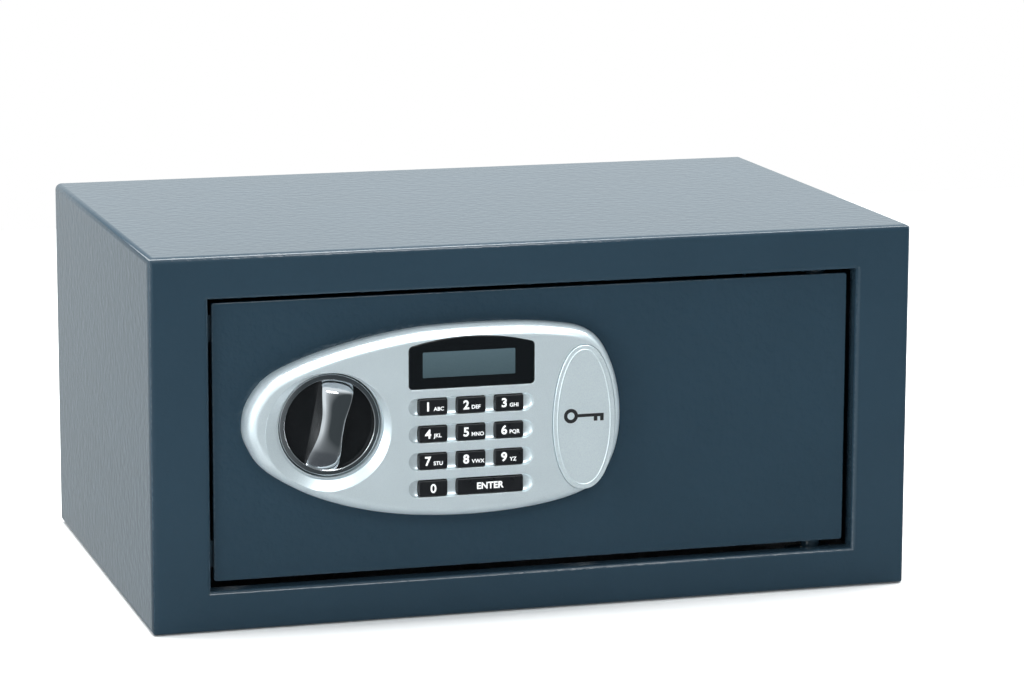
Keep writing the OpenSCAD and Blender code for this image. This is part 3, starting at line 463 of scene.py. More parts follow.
def cell_sleeve(name):
    """Printed sleeve of a battery cell: a dark body, a copper band and bare ends."""
    material, tree, shader = start_material(name, Coat_Weight=0.3, Coat_Roughness=0.1)
    low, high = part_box("batteries")
    split = add(tree, "ShaderNodeSeparateXYZ", Vector=object_place(tree))
    along = remap(tree, split.outputs["X"], low.x, high.x)
    band = math_node(tree, "GREATER_THAN", along, 0.7)
    scuff = group_node(tree, GRAIN, Size=0.0015, Stretch=(0.2, 1, 1), Detail=4.0)
    base = mix_colour(tree, band, (0.02, 0.022, 0.026, 1), (0.5, 0.2, 0.07, 1))
    centred = math_node(tree, "ABSOLUTE", math_node(tree, "SUBTRACT", along, 0.5))
    bare = math_node(tree, "GREATER_THAN", centred, 0.475)
    base = mix_colour(tree, bare, base, (0.55, 0.55, 0.54, 1))
    paint(tree, shader, remap(tree, scuff, 0.62, 0.8, 0, 0.4), base, (0.3, 0.3, 0.3, 1))
    plug(tree, shader.inputs["Metallic"], math_node(tree, "MAXIMUM", bare, band))
    roughen(tree, shader, scuff, 0.25, 0.4)
    return material


def ribbed_carpet(name):
    """Needle-felt carpet: matted fibres in soft ribs."""
    material, tree, shader = start_material(name, Sheen_Weight=0.35, Sheen_Roughness=0.6,
                                            Specular_IOR_Level=0.2)
    fibre = group_node(tree, GRAIN, Size=0.0009, Stretch=(1, 0.35, 1), Detail=5.0)
    tuft = group_node(tree, GRAIN, Size=0.004, Detail=3.0)
    both = math_node(tree, "ADD", fibre, math_node(tree, "MULTIPLY", tuft, 0.6))
    paint(tree, shader, remap(tree, both, 0.55, 1.05), (0.008, 0.009, 0.011, 1),
          (0.05, 0.055, 0.065, 1))
    plug(tree, shader.inputs["Roughness"], remap(tree, both, 0.5, 1.1, 0.85, 1.0))
    bump(tree, shader, both, 0.0006)
    return material


def white_ink(name, colour):
    """Screen-printed ink, slightly uneven."""
    material, tree, shader = start_material(name)
    tone = group_node(tree, GRAIN, Size=0.0004, Detail=2.0)
    paint(tree, shader, tone, shade(colour, 0.9), colour)
    roughen(tree, shader, tone, 0.35, 0.5)
    return material


BLUE = (0.0195, 0.04, 0.059, 1)
SILVER = (0.84, 0.95, 1.0, 1)
FINISH = {name: make(name, *values) for name, make, *values in (
    ("body_paint", powder_coat, BLUE, 0.16, 0.0018, 0.0001),
    ("door_paint", powder_coat, shade(BLUE, 0.95), 0.13, 0.0021, 0.00026),
    ("panel_silver", silver_lacquer, SILVER, 0.3),
    ("cap_silver", silver_lacquer, shade(SILVER, 1.02), 0.33),
    ("chrome", chrome_plate),
    ("knob_black", moulded, (0.006, 0.007, 0.008, 1), 0.2, 0.0006, 0.000008),
    ("key_black", moulded, (0.008, 0.009, 0.011, 1), 0.3, 0.0004, 0.000015),
    ("lens_black", gloss_lens, (0.004, 0.005, 0.006, 1), 0.06),
    ("display_grey", display_window),
    ("zinc_steel", plated, (0.56, 0.57, 0.58, 1), 0.34),
    ("bright_steel", turned_metal, (0.66, 0.66, 0.66, 1), 0.2, (1, 0.05, 0.05)),
    ("fastener", plated, (0.6, 0.61, 0.63, 1), 0.26, 0.0015),
    ("brass", turned_metal, (0.72, 0.5, 0.2, 1), 0.24, (0.05, 1, 0.05)),
    ("nylon", moulded, (0.6, 0.58, 0.5, 1), 0.42, 0.0008, 0.00001),
    ("black_plastic", moulded, (0.012, 0.012, 0.014, 1), 0.42, 0.0005, 0.00002),
    ("cover_plastic", moulded, (0.022, 0.026, 0.03, 1), 0.45, 0.0007, 0.00004),
    ("red_plastic", moulded, (0.42, 0.015, 0.012, 1), 0.3, 0.0005, 0.00001),
    ("circuit_green", board_green),
    ("silicone", moulded, (0.05, 0.055, 0.065, 1), 0.6, 0.0004, 0.00002),
    ("rubber", moulded, (0.01, 0.01, 0.01, 1), 0.65, 0.0005, 0.00003),
    ("cell_wrap", cell_sleeve),
    ("carpet", ribbed_carpet),
    ("wire_red", moulded, (0.35, 0.01, 0.01, 1), 0.35, 0.0005, 0.00001),
    ("wire_black", moulded, (0.01, 0.01, 0.01, 1), 0.35, 0.0005, 0.00001),
)}
LEGEND = white_ink("legend_white", (0.9, 0.92, 0.93, 1))
MARK = white_ink("mark_black", (0.015, 0.016, 0.018, 1))

# ---- Outlines in the front view, as (x, z) points ----

QUARTER = math.pi / 2


def closed_curve(points, steps):
    """Smooth closed curve through the points."""
    found = []
    for i in range(len(points)):
        a, b, c, d = (Vector(points[(i + k) % len(points)]) for k in (-1, 0, 1, 2))
        for step in range(steps):
            t = step / steps
            found.append(0.5 * (2 * b + (c - a) * t + (2 * a - 5 * b + 4 * c - d) * t * t
                                + (3 * b - a - 3 * c + d) * t ** 3))
    return found


def circle(x, z, radius, steps=96):
    turns = [2 * math.pi * i / steps for i in range(steps)]
    return [Vector((x + radius * math.cos(t), z + radius * math.sin(t))) for t in turns]


def arc(x, z, radius, start, sweep, steps):
    """Points along part of a circle, from the angle start on through sweep."""
    turns = [start + sweep * step / steps for step in range(steps + 1)]
    return [Vector((x + radius * math.cos(t), z + radius * math.sin(t))) for t in turns]


def rounded(x, z, width, height, radius, steps=7):
    """Rectangle centred on (x, z) with round corners."""
    found = []
    for corner, (sx, sz) in enumerate(((1, 1), (-1, 1), (-1, -1), (1, -1))):
        found += arc(x + sx * (width / 2 - radius), z + sz * (height / 2 - radius), radius,
                     QUARTER * corner, QUARTER, steps)
    return found


def box_outline(low, high, radius, inside=0.0, steps=7):
    """Front outline of a box as a rounded rectangle that stands in from its sides."""
    return rounded((low.x + high.x) / 2, (low.z + high.z) / 2, high.x - low.x - 2 * inside,
                   high.z - low.z - 2 * inside, radius, steps)


def inset(points, depth):
    """The outline moved inwards by depth."""
    ring = [Vector(p) for p in points]
    after = ring[1:] + ring[:1]
    area = sum(p.x * q.y - q.x * p.y for p, q in zip(ring, after))
    turn = 1 if area > 0 else -1
    edges = [(q - p).normalized() for p, q in zip(ring, after)]
    found = []
    for here, e0, e1 in zip(ring, edges[-1:] + edges[:-1], edges):
        n0 = Vector((-e0.y, e0.x)) * turn
        n1 = Vector((-e1.y, e1.x)) * turn
        mitre = n0 + n1
        found.append(here + mitre * (depth / max(0.3, mitre.dot(n0))))
    return found


def between(a, b, share):
    return [p.lerp(q, share) for p, q in zip(a, b)]


PANEL_POINTS = ((-103, 3), (-99, 16.5), (-86, 29.5), (-55, 41), (-15, 49), (25, 51), (62, 49.5),
                (86, 43.5), (98, 25), (102.5, 0), (99, -23), (87, -40), (60, -48.5),
                (18, -51.7), (-25, -48.5), (-62, -38.5), (-90, -23), (-100.5, -9))


def panel_outline():
    return closed_curve([(panel_x + u * MM, panel_z + v * MM) for u, v in PANEL_POINTS], 9)


def cap_outline(grow=0.0):
    """Egg outline of the cap, a little narrower at the top."""
    low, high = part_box("oval_cap")
    x, z = (low.x + high.x) / 2, (low.z + high.z) / 2
    half_w, half_h = (high.x - low.x) / 2, (high.z - low.z) / 2
    squareness, taper, steps = 0.9, 0.05, 96
    egg = []
    for i in range(steps):
        c, s = math.cos(2 * math.pi * i / steps), math.sin(2 * math.pi * i / steps)
        wide = math.copysign(abs(c) ** squareness, c) * (1 - taper * s)
        egg.append(Vector((x + half_w * wide, z + half_h * s)))
    return inset(egg, -grow)


def lens_outline(grow=0.0):
    """Rectangle with round corners under an arched top."""
    corner, top_corner, steps = 2.2 * MM, 2.5 * MM, 7
    x = (lens_low.x + lens_high.x) / 2
    half = (lens_high.x - lens_low.x) / 2
    rise = 4.7 * MM
    arch_r = (half ** 2 + rise ** 2) / (2 * rise)
    arch_z = lens_high.z - arch_r
    inner_r = arch_r - top_corner
    lean = math.asin((half - top_corner) / inner_r)
    corner_z = arch_z + inner_r * math.cos(lean)
    low_z, top_x = lens_low.z + corner, half - top_corner
    found = arc(x - half + corner, low_z, corner, 2 * QUARTER, QUARTER, steps)
    found += arc(x + half - corner, low_z, corner, 3 * QUARTER, QUARTER, steps)
    found += arc(x + top_x, corner_z, top_corner, 0, QUARTER - lean, steps)
    found += arc(x, arch_z, arch_r, QUARTER - lean, 2 * lean, 24)[1:-1]
    found += arc(x - top_x, corner_z, top_corner, QUARTER + lean, QUARTER - lean, steps)
    return inset(found, -grow)


# ---- Making meshes ----


def level(outline, y):
    return [(p[0], y, p[1]) for p in outline]


def mesh_object(name, mesh):
    data = bpy.data.meshes.new(name)
    mesh.to_mesh(data)
    mesh.free()
    return new_object(name, data)


def stack(name, rings, closed=False):
    """Solid through rings of as many points each. It ends in a flat face unless it closes."""
    mesh = bmesh.new()
    rows = [[mesh.verts.new(p) for p in ring] for ring in rings]
    for a, b in zip(rows, rows[1:] + rows[:1] if closed else rows[1:]):
        for i in range(len(a)):
            j = (i + 1) % len(a)
            mesh.faces.new((a[i], a[j], b[j], b[i]))
    if not closed:
        mesh.faces.new(rows[0])
        mesh.faces.new(rows[-1])
    bmesh.ops.recalc_face_normals(mesh, faces=mesh.faces)
    return mesh_object(name, mesh)


def turned(name, x, z, profile, closed=False, steps=96):
    """Solid of revolution about the line along Y through (x, z), from (radius, y) points."""
    return stack(name, [level(circle(x, z, r, steps), y) for r, y in profile], closed)


def quarter(outline, inwards, depth, y0, steps):
    """Rings of a rounded edge that starts inwards from the outline at y0."""
    turns = [QUARTER * step / steps for step in range(steps + 1)]
    return [level(inset(outline, inwards * (1 - math.sin(t))), y0 + depth * (1 - math.cos(t)))
            for t in turns]


def fillet(outline, radius, y0, y1, steps=5):
    """Rings of an upright wall whose front edge, at y0, is rounded; y1 is its back."""
    return quarter(outline, radius, radius, y0, steps) + [level(outline, y1)]


def flared(outline, radius, y0, y1, steps=4):
    """Rings of a cutter whose mouth, at y0, leaves a rounded edge."""
    mouth = level(inset(outline, -radius), y0 - 1.5 * MM)
    return [mouth] + quarter(outline, -radius, radius, y0, steps) + [level(outline, y1)]


def prism(outline, y0, y1):
    return stack("prism", [level(outline, y) for y in (y0, y1)])


def rod(x, z, radius, y0, y1, steps=40):
    return prism(circle(x, z, radius, steps), y0, y1)


def rods_at(node, radius, y0, y1, steps=40):
    """A rod at the place of each solid of a node."""
    return [rod(*centre_xz(box), radius, y0, y1, steps) for box in solids(node)]


def block(low, high):
    corners = [(low[0], low[2]), (high[0], low[2]), (high[0], high[2]), (low[0], high[2])]
    return prism(corners, low[1], high[1])


def shown_mesh(made):
    """What an object looks like, as a mesh."""
    bpy.context.view_layer.update()
    graph = bpy.context.evaluated_depsgraph_get()
    return bpy.data.meshes.new_from_object(made.evaluated_get(graph))


def settle(made):
    """Turns what the modifiers show into the mesh itself."""
    mesh = shown_mesh(made)
    made.modifiers.clear()
    made.data = mesh
    return made


def combine(base, tools, operation):
    for tool in tools:
        step = base.modifiers.new("combine", "BOOLEAN")
        step.solver = "MANIFOLD"
        step.operation = operation
        step.object = tool
    settle(base)
    for tool in tools:
        bpy.data.objects.remove(tool)
    return base


def cut(base, *tools):
    return combine(base, tools, "DIFFERENCE")


def weld(base, *tools):
    return combine(base, tools, "UNION")


def soften(made, angle=35):
    """Smooth shading up to that angle, with flat faces kept flat."""
    for face in made.data.polygons:
        face.use_smooth = True
    made.data.set_sharp_from_angle(angle=math.radians(angle))
    step = made.modifiers.new("normals", "WEIGHTED_NORMAL")
    step.weight = 100
    step.keep_sharp = True
    return settle(made)


def dress(made, name, body, slot, replaced=(), soft=35):
    """Names a finished piece, gives it its finish, and sets it on its body."""
    made.name = name
    if not any(made.data.materials):
        made.data.materials.clear()
        made.data.materials.append(FINISH[slot])
    if soft:
        soften(made, soft)
    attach(made, body)
    if replaced:
        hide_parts(*replaced)
    return made


def merged_copy(node):
    """A CAD node's mesh with its loose triangles joined to whole faces, as a new object."""
    mesh = bmesh.new()
    mesh.from_mesh(frame["nodes"][node].data)
    bmesh.ops.remove_doubles(mesh, verts=mesh.verts, dist=0.005 * MM)
    bmesh.ops.dissolve_limit(mesh, angle_limit=math.radians(0.4), verts=mesh.verts[:],
                             edges=mesh.edges[:])
    return mesh_object(node + "_shape", mesh)


# ---- Body ----


def make_body():
    for node in ("body_shell", "back_plate"):
        dress(merged_copy(node), "safe_" + node, "safe_body", "body_paint", [node], soft=32)


MAT_HOLES = [(x * MM, y * MM) for x in (-130, 130) for y in (-65, 65)]
MAT_HOLE_R = 6 * MM


def make_floor_mat():
    """Cut carpet laid on the floor, with holes over the anchors and a slightly uneven top."""
    low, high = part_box("floor_mat")
    outline = rounded((low.x + high.x) / 2, (low.y + high.y) / 2, high.x - low.x, high.y - low.y,
                      4 * MM)
    edge = 0.6 * MM
    rings = [[(p.x, p.y, low.z) for p in outline], [(p.x, p.y, high.z - edge) for p in outline],
             [(p.x, p.y, high.z) for p in inset(outline, edge)]]
    mat = stack("mat", rings)
    punches = []
    for x, y in MAT_HOLES:
        rings = [[(p.x, p.y, z) for p in circle(x, y, MAT_HOLE_R, 32)]
                 for z in (low.z - MM, high.z + MM)]
        punches.append(stack("punch", rings))
    cut(mat, *punches)
    mesh = bmesh.new()
    mesh.from_mesh(mat.data)
    for axis, count in ((Vector((1, 0, 0)), 60), (Vector((0, 1, 0)), 36)):
        size = (high - low).dot(axis)
        for i in range(1, count):
            bmesh.ops.bisect_plane(mesh, geom=mesh.verts[:] + mesh.edges[:] + mesh.faces[:],
                                   plane_co=low + axis * size * i / count, plane_no=axis)
    for v in mesh.verts:
        if v.co.z > high.z - edge / 2:
            v.co.z -= 0.35 * MM * (0.5 + 0.5 * noise.noise(v.co * 45))
    mesh.to_mesh(mat.data)
    mesh.free()
    dress(mat, "floor_carpet", "safe_body", "carpet", ["floor_mat"], soft=50)


# ---- Door ----

LOCK_HOLE_R = 9.8 * MM


def make_door_plate():
    """Door plate with eased edges and its holes."""
    outline = box_outline(door_low, door_high, 1.5 * MM)
    ease = 0.7 * MM
    front = fillet(outline, ease, door_y, door_back - ease, 4)
    back = [level(inset(outline, ease * (1 - math.cos(math.pi / 8 * k))),
                  door_back - ease + ease * math.sin(math.pi / 8 * k)) for k in (1, 2, 3, 4)]
    plate = stack("plate", front + back)
    wire = middle("wire_grommet")
    span = (door_y - MM, door_back + MM)
    cut(plate, rod(knob.x, knob.z, 8.1 * MM, *span), rod(lock.x, lock.z, LOCK_HOLE_R, *span),
        rod(wire.x, wire.z, 6 * MM, *span), *rods_at("housing_screws", 2.3 * MM, *span))
    dress(plate, "door_panel", "door", "door_paint", ["door_plate"])


WELL_R = 28.1 * MM
DISH_R = 33.6 * MM
DISH_SQUASH = 0.94
DISH_SHIFT = Vector((-1.9 * MM, -2.5 * MM))
DISH_DEPTH = 4.0 * MM


def knob_dish():
    """Cutter for the knob's well and for the shallow dish round it, which sits low and left."""
    rim = [Vector((knob.x + DISH_SHIFT.x + p.x, knob.z + DISH_SHIFT.y + p.y * DISH_SQUASH))
           for p in circle(0, 0, DISH_R)]
    well = circle(knob.x, knob.z, WELL_R)
    lip, steps = 0.5 * MM, 8
    rings = flared(rim, lip, face_y, face_y + lip)[:-1]
    for step in range(1, steps + 1):
        share = step / steps
        drop = lip + (DISH_DEPTH - lip) * share
        rings.append(level(between(rim, well, share), face_y + drop))
    ease = 0.6 * MM
    for step in (1, 2, 3):
        turn = math.pi / 6 * step
        rings.append(level(inset(well, ease * math.sin(turn) * 0.5),
                           face_y + DISH_DEPTH + ease * (1 - math.cos(turn))))
    rings.append(level(inset(well, ease * 0.5), door_y + 2 * MM))
    return stack("dish", rings)


KEY_W = 15.5 * MM
ENTER_W = 36.3 * MM
KEY_HOLE_H = 9 * MM
CHANNEL_OVER = 5.4 * MM
CHANNEL_H = 9.4 * MM
CHANNEL_DEPTH = 2.2 * MM


def key_channel(x, row_z, half):
    """Cutter for one of the hollow channels that the keys sit in."""
    outline = rounded(x, row_z, 2 * half, CHANNEL_H, CHANNEL_H / 2 - 0.05 * MM, 12)
    lip, steps, sweep = 0.3 * MM, 8, math.radians(80)
    rings = flared(outline, lip, face_y, face_y + lip)[:-1]
    for step in range(1, steps + 1):
        turn = sweep * step / steps
        rings.append(level(inset(outline, CHANNEL_H / 2 * (1 - math.cos(turn))),
                           face_y + lip + (CHANNEL_DEPTH - lip) * math.sin(turn)))
    return stack("channel", rings)


def make_panel():
    """Moulded panel: a rounded shell with its wells, channels, pockets, bosses and walls."""
    outline = panel_outline()
    rim_w, rim_h, wall, skin = 6.5 * MM, 9 * MM, 3.2 * MM, 3.5 * MM
    back = door_y - 0.1 * MM
    panel = stack("panel", quarter(outline, rim_w, rim_h, face_y, 12) + [level(outline, back)])
    ceiling = face_y + skin
    hollow = inset(outline, wall)
    cut(panel, stack("hollow", [level(inset(hollow, 3.6 * MM), ceiling),
                                level(inset(hollow, 0.4 * MM), ceiling + 3 * MM),
                                level(hollow, ceiling + 4 * MM), level(hollow, back + MM)]))
    walls = [rod(knob.x, knob.z, WELL_R + 2 * MM, face_y + 4.6 * MM, back, 96)]
    walls += rods_at("housing_screws", 3.5 * MM, face_y + 2.5 * MM, back)
    walls += rods_at("board_screws", 2.5 * MM, face_y + 2.5 * MM, face_y + 7 * MM)
    weld(panel, *walls)
    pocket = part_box("oval_cap")[1].y + 0.1 * MM
    lens_seat = lens_high.y + 0.1 * MM
    screen_low, screen_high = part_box("display_panel")
    tools = [knob_dish(),
             stack("pocket", flared(cap_outline(0.35 * MM), 0.25 * MM, face_y, pocket)),
             stack("seat", flared(lens_outline(0.15 * MM), 0.25 * MM, face_y, lens_seat)),
             rod(lock.x, lock.z, LOCK_HOLE_R, face_y, door_y + MM),
             block((screen_low.x + 2 * MM, face_y, screen_low.z + 2 * MM),
                   (screen_high.x - 2 * MM, ceiling + MM, screen_high.z - 2 * MM))]
    keys = {digit: middle("key_%d" % digit) for digit in range(10)}
    half = (keys[3].x - keys[1].x) / 2 + KEY_W / 2 + CHANNEL_OVER
    for digit in (2, 5, 8, 0):
        tools.append(key_channel(keys[2].x, keys[digit].z, half))
    holes = [(keys[digit], KEY_W) for digit in range(10)] + [(middle("key_enter"), ENTER_W)]
    for key, width in holes:
        outline = rounded(key.x, key.z, width + 0.6 * MM, KEY_HOLE_H, 1.1 * MM)
        tools.append(prism(outline, face_y - MM, ceiling + MM))
    tools += rods_at("housing_screws", 1.7 * MM, ceiling + 0.5 * MM, door_y + MM, 24)
    cut(panel, *tools)
    dress(panel, "keypad_shell", "door", "panel_silver", ["keypad_housing"], soft=38)


def make_lens():
    """Black lens with a rounded edge and the grey display window let into its face."""
    lens = stack("lens", fillet(lens_outline(), 0.5 * MM, lens_low.y, lens_high.y))
    dress(lens, "display_cover", "door", "lens_black", ["display_lens"])
    low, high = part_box("display_panel")
    shape = box_outline(low, high, 0.4 * MM, 3 * MM, 3)
    window = prism(shape, lens_low.y - 0.02 * MM, lens_low.y + 0.6 * MM)
    dress(window, "display_window", "door", "display_grey", soft=0)


def print_text(words, size, place, bold, align):
    """Flat lettering facing the front, as a mesh centred on place or starting at it."""
    curve = bpy.data.curves.new("text", "FONT")
    curve.body = words
    curve.size = size
    curve.align_x, curve.align_y = align, "CENTER"
    curve.offset = bold
    curve.extrude = 0.02 * MM
    curve.resolution_u = 4
    lettering = new_object("text", curve)
    mesh = shown_mesh(lettering)
    bpy.data.objects.remove(lettering)
    low, high = extent([v.co for v in mesh.vertices])
    centre = (low + high) / 2
    shift = Vector((-centre.x if align == "CENTER" else -low.x, -centre.y, 0))
    upright = Matrix.Rotation(math.radians(90), 4, "X")
    mesh.transform(Matrix.Translation(place) @ upright @ Matrix.Translation(shift))
    return mesh


def add_mesh(made, mesh, material):
    """Joins a mesh to a piece, in its own material."""
    made.data.materials.append(material)
    index = len(made.data.materials) - 1
    joined = bmesh.new()
    joined.from_mesh(made.data)
    count = len(joined.faces)
    joined.from_mesh(mesh)
    joined.faces.ensure_lookup_table()
    for face in joined.faces[count:]:
        face.material_index = index
    joined.to_mesh(made.data)
    joined.free()
    bpy.data.meshes.remove(mesh)


LETTERS = {1: "ABC", 2: "DEF", 3: "GHI", 4: "JKL", 5: "MNO", 6: "PQR", 7: "STU", 8: "VWX",
           9: "YZ"}


def make_key(node, body, legend, letters=""):
    """Key cap with eased edges, its flange and its printed legend."""
    low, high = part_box(node)
    centre = (low + high) / 2
    flange = MM
    rings = fillet(box_outline(low, high, 0.8 * MM, flange, 5), 0.55 * MM, low.y,
                   high.y - flange)
    foot = box_outline(low, high, 1.2 * MM, steps=5)
    rings += [level(foot, high.y - flange), level(foot, high.y)]
    key = stack("key", rings)
    key.data.materials.append(FINISH["key_black"])
    prints = [(legend, 6.6 if node == "key_0" else 4.9, (0, 0), 0.14, "CENTER")]
    if letters:
        prints = [(legend, 6.6, (-2.9, 0.2), 0.2, "CENTER"),
                  (letters, 2.9, (0.1, -1.1), 0.06, "LEFT")]
    for words, size, (right, up), bold, align in prints:
        place = (centre.x + right * MM, low.y - 0.01 * MM, centre.z + up * MM)
        add_mesh(key, print_text(words, size * MM, place, bold * MM, align), LEGEND)
    dress(key, body, body, "key_black", [node], soft=30)


def make_keys():
    for digit in range(10):
        make_key("key_%d" % digit, "button_%d" % digit, str(digit), LETTERS.get(digit, ""))
    make_key("key_enter", "button_enter", "ENTER")


def make_cap():
    """Oval cap with a raised bead just inside its edge and a plain key sign."""
    low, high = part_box("oval_cap")
    outline = cap_outline()
    field_y = low.y + 0.15 * MM
    rings = fillet(outline, 0.5 * MM, field_y, high.y, 4)[::-1]
    bead_in, bead_w, bead_h = 2.0 * MM, 1.1 * MM, 0.3 * MM
    for step in range(9):
        share = step / 8
        rings.append(level(inset(outline, bead_in + bead_w * share),
                           field_y - bead_h * math.sin(math.pi * share)))
    cap = stack("cap", rings)
    cap.data.materials.append(FINISH["cap_silver"])
    centre = (low + high) / 2
    for part in key_sign(centre.x, centre.z + MM, field_y):
        add_mesh(cap, part.data.copy(), MARK)
        bpy.data.objects.remove(part)
    dress(cap, "oval_cover", "cap", "cap_silver", ["oval_cap"], soft=40)


def key_sign(x, z, y):
    """Plain sign of a key: a ring, a shank and two teeth, printed dark."""
    y0, y1 = y - 0.03 * MM, y + 0.02 * MM
    ring = [level(circle(x - 7.4 * MM, z, r, 48), d) for r, d in
            ((3.9 * MM, y1), (3.9 * MM, y0), (2.0 * MM, y0), (2.0 * MM, y1))]
    parts = [stack("bow", ring, closed=True)]
    parts.append(block((x - 3.7 * MM, y0, z - 0.85 * MM), (x + 10.8 * MM, y1, z + 0.85 * MM)))
    for left in (5.3, 8.8):
        parts.append(block((x + left * MM, y0, z - 3.2 * MM),
                           (x + (left + 2) * MM, y1, z - 0.85 * MM)))
    return parts


# ---- Knob ----

GRIP_LEAN = math.radians(11)


def make_knob():
    """Chrome ring with the grip across it: tapered flanks and a pillowed crown."""
    low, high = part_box("knob_grip")
    ring_out = 27 * MM
    ring_in = 24.2 * MM
    ring_front = high.y - 5.5 * MM
    edge = 0.4 * MM
    profile = [(ring_out, high.y)]
    for r, y, start in ((ring_out - edge, ring_front + 0.2 * MM + edge, 0),
                        (ring_in + edge, ring_front + edge, math.pi / 2)):
        for step in range(5):
            turn = start + math.pi / 2 * step / 4
            profile.append((r + edge * math.cos(turn), y - edge * math.sin(turn)))
    profile.append((ring_in, high.y))
    ring = turned("ring", knob.x, knob.z, profile, closed=True, steps=128)
    foot_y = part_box("knob_disc")[0].y - 0.1 * MM
    spans, half_len = 44, 24.9 * MM
    grip = stack("grip", [grip_section(-half_len + 2 * half_len * i / spans, foot_y, low.y,
                                       half_len) for i in range(spans + 1)])
    lean = Matrix.Translation((knob.x, 0, knob.z)) @ Matrix.Rotation(GRIP_LEAN, 4, "Y")
    grip.data.transform(lean)
    weld(ring, grip)
    dress(ring, "knob_handle", "knob", "chrome", ["knob_grip"], soft=28)


def ramp(value, low, high):
    """Smooth rise from 0 at low to 1 at high."""
    t = min(1.0, max(0.0, (value - low) / (high - low)))
    return t * t * (3 - 2 * t)


def grip_section(s, foot_y, tip_y, half_len):
    """One section of the grip, at s along it: foot, flanks and crown, as (x, y, z) points."""
    foot_half, waist_half, edge = 9.0 * MM, 6.4 * MM, 2.2 * MM
    crown_half = waist_half + (foot_half - 0.3 * MM - waist_half) * ramp(abs(s), 2 * MM, 20 * MM)
    height = foot_y - 2 * MM - tip_y
    start, knee = (6 * MM, 19 * MM) if s > 0 else (2 * MM, 14 * MM)
    knee_drop = 0.3
    out = abs(s)
    if out < knee:
        fall = knee_drop * max(0.0, (out - start) / (knee - start)) ** 2
    else:
        fall = knee_drop + (1 - knee_drop) * (out - knee) / (half_len - knee)
    top_y = tip_y + height * fall
    shoulder_y = top_y + edge
    points = [(-foot_half, foot_y), (-foot_half, foot_y - 0.4 * MM)]
    flank = 5
    for k in range(1, flank):
        t = k / flank
        points.append((-foot_half + (foot_half - crown_half) * t,
                       foot_y - 0.4 * MM + (shoulder_y - foot_y + 0.4 * MM) * t))
    crown = 12
    for k in range(crown + 1):
        turn = math.pi * k / crown
        points.append((-crown_half * math.cos(turn), shoulder_y - edge * math.sin(turn) ** 0.8))
    points += [(-x, y) for x, y in reversed(points[:flank + 1])]
    return [(x, y, s) for x, y in points]


make_body()
make_floor_mat()
make_door_plate()
make_panel()
make_lens()
make_keys()
make_cap()
make_knob()

# ---- Inside of the door ----


def make_inner_cover():
    """Moulded cover with round edges, open at its bolt side, with its lid opening and holes."""
    outer = box_outline(cover_low, cover_high, 4 * MM)
    round_r, wall = 2.5 * MM, 2 * MM
    shell = stack("cover", [[(x, cover_low.y + cover_high.y - y, z) for x, y, z in ring]
                            for ring in fillet(outer, round_r, cover_low.y, cover_high.y)])
    inner = box_outline(cover_low, cover_high, 2 * MM, wall)
    cut(shell, prism(inner, cover_low.y - MM, cover_high.y - wall),
        block((cover_low.x - MM, cover_low.y - MM, cover_low.z + wall),
              (cover_low.x + 6 * MM, cover_high.y - wall, cover_high.z - wall)))
    span = (cover_high.y - 4 * MM, cover_high.y + MM)
    button = middle("reset_button")
    cut(shell, prism(box_outline(*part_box("battery_lid"), 2 * MM, -0.4 * MM), *span),
        rod(button.x, button.z, 4.3 * MM, *span),
        *rods_at("cover_screws", 2.3 * MM, *span, 24))
    dress(shell, "bolt_cover", "door", "cover_plastic", ["inner_cover"])


def make_battery_lid():
    """Battery lid with eased edges, a catch rib behind and finger ribs on its face."""
    low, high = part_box("battery_lid")
    face = cover_high.y
    centre_x = (low.x + high.x) / 2
    front = fillet(box_outline(low, high, 2 * MM), 0.5 * MM, 0, 2 * MM, 4)
    lid = stack("lid", [[(x, face - y, z) for x, y, z in ring] for ring in front])
    weld(lid, prism(box_outline(low, high, 2 * MM, 2 * MM), low.y, face - 1.5 * MM))
    ribs = []
    for k in range(3):
        z = high.z - (5 + 2.6 * k) * MM
        ribs.append(block((centre_x - 8 * MM, face - 0.5 * MM, z - 0.6 * MM),
                          (centre_x + 8 * MM, face + 1.1 * MM, z + 0.6 * MM)))
    weld(lid, *ribs)
    dress(lid, "battery_hatch", "battery_door", "cover_plastic", ["battery_lid"])


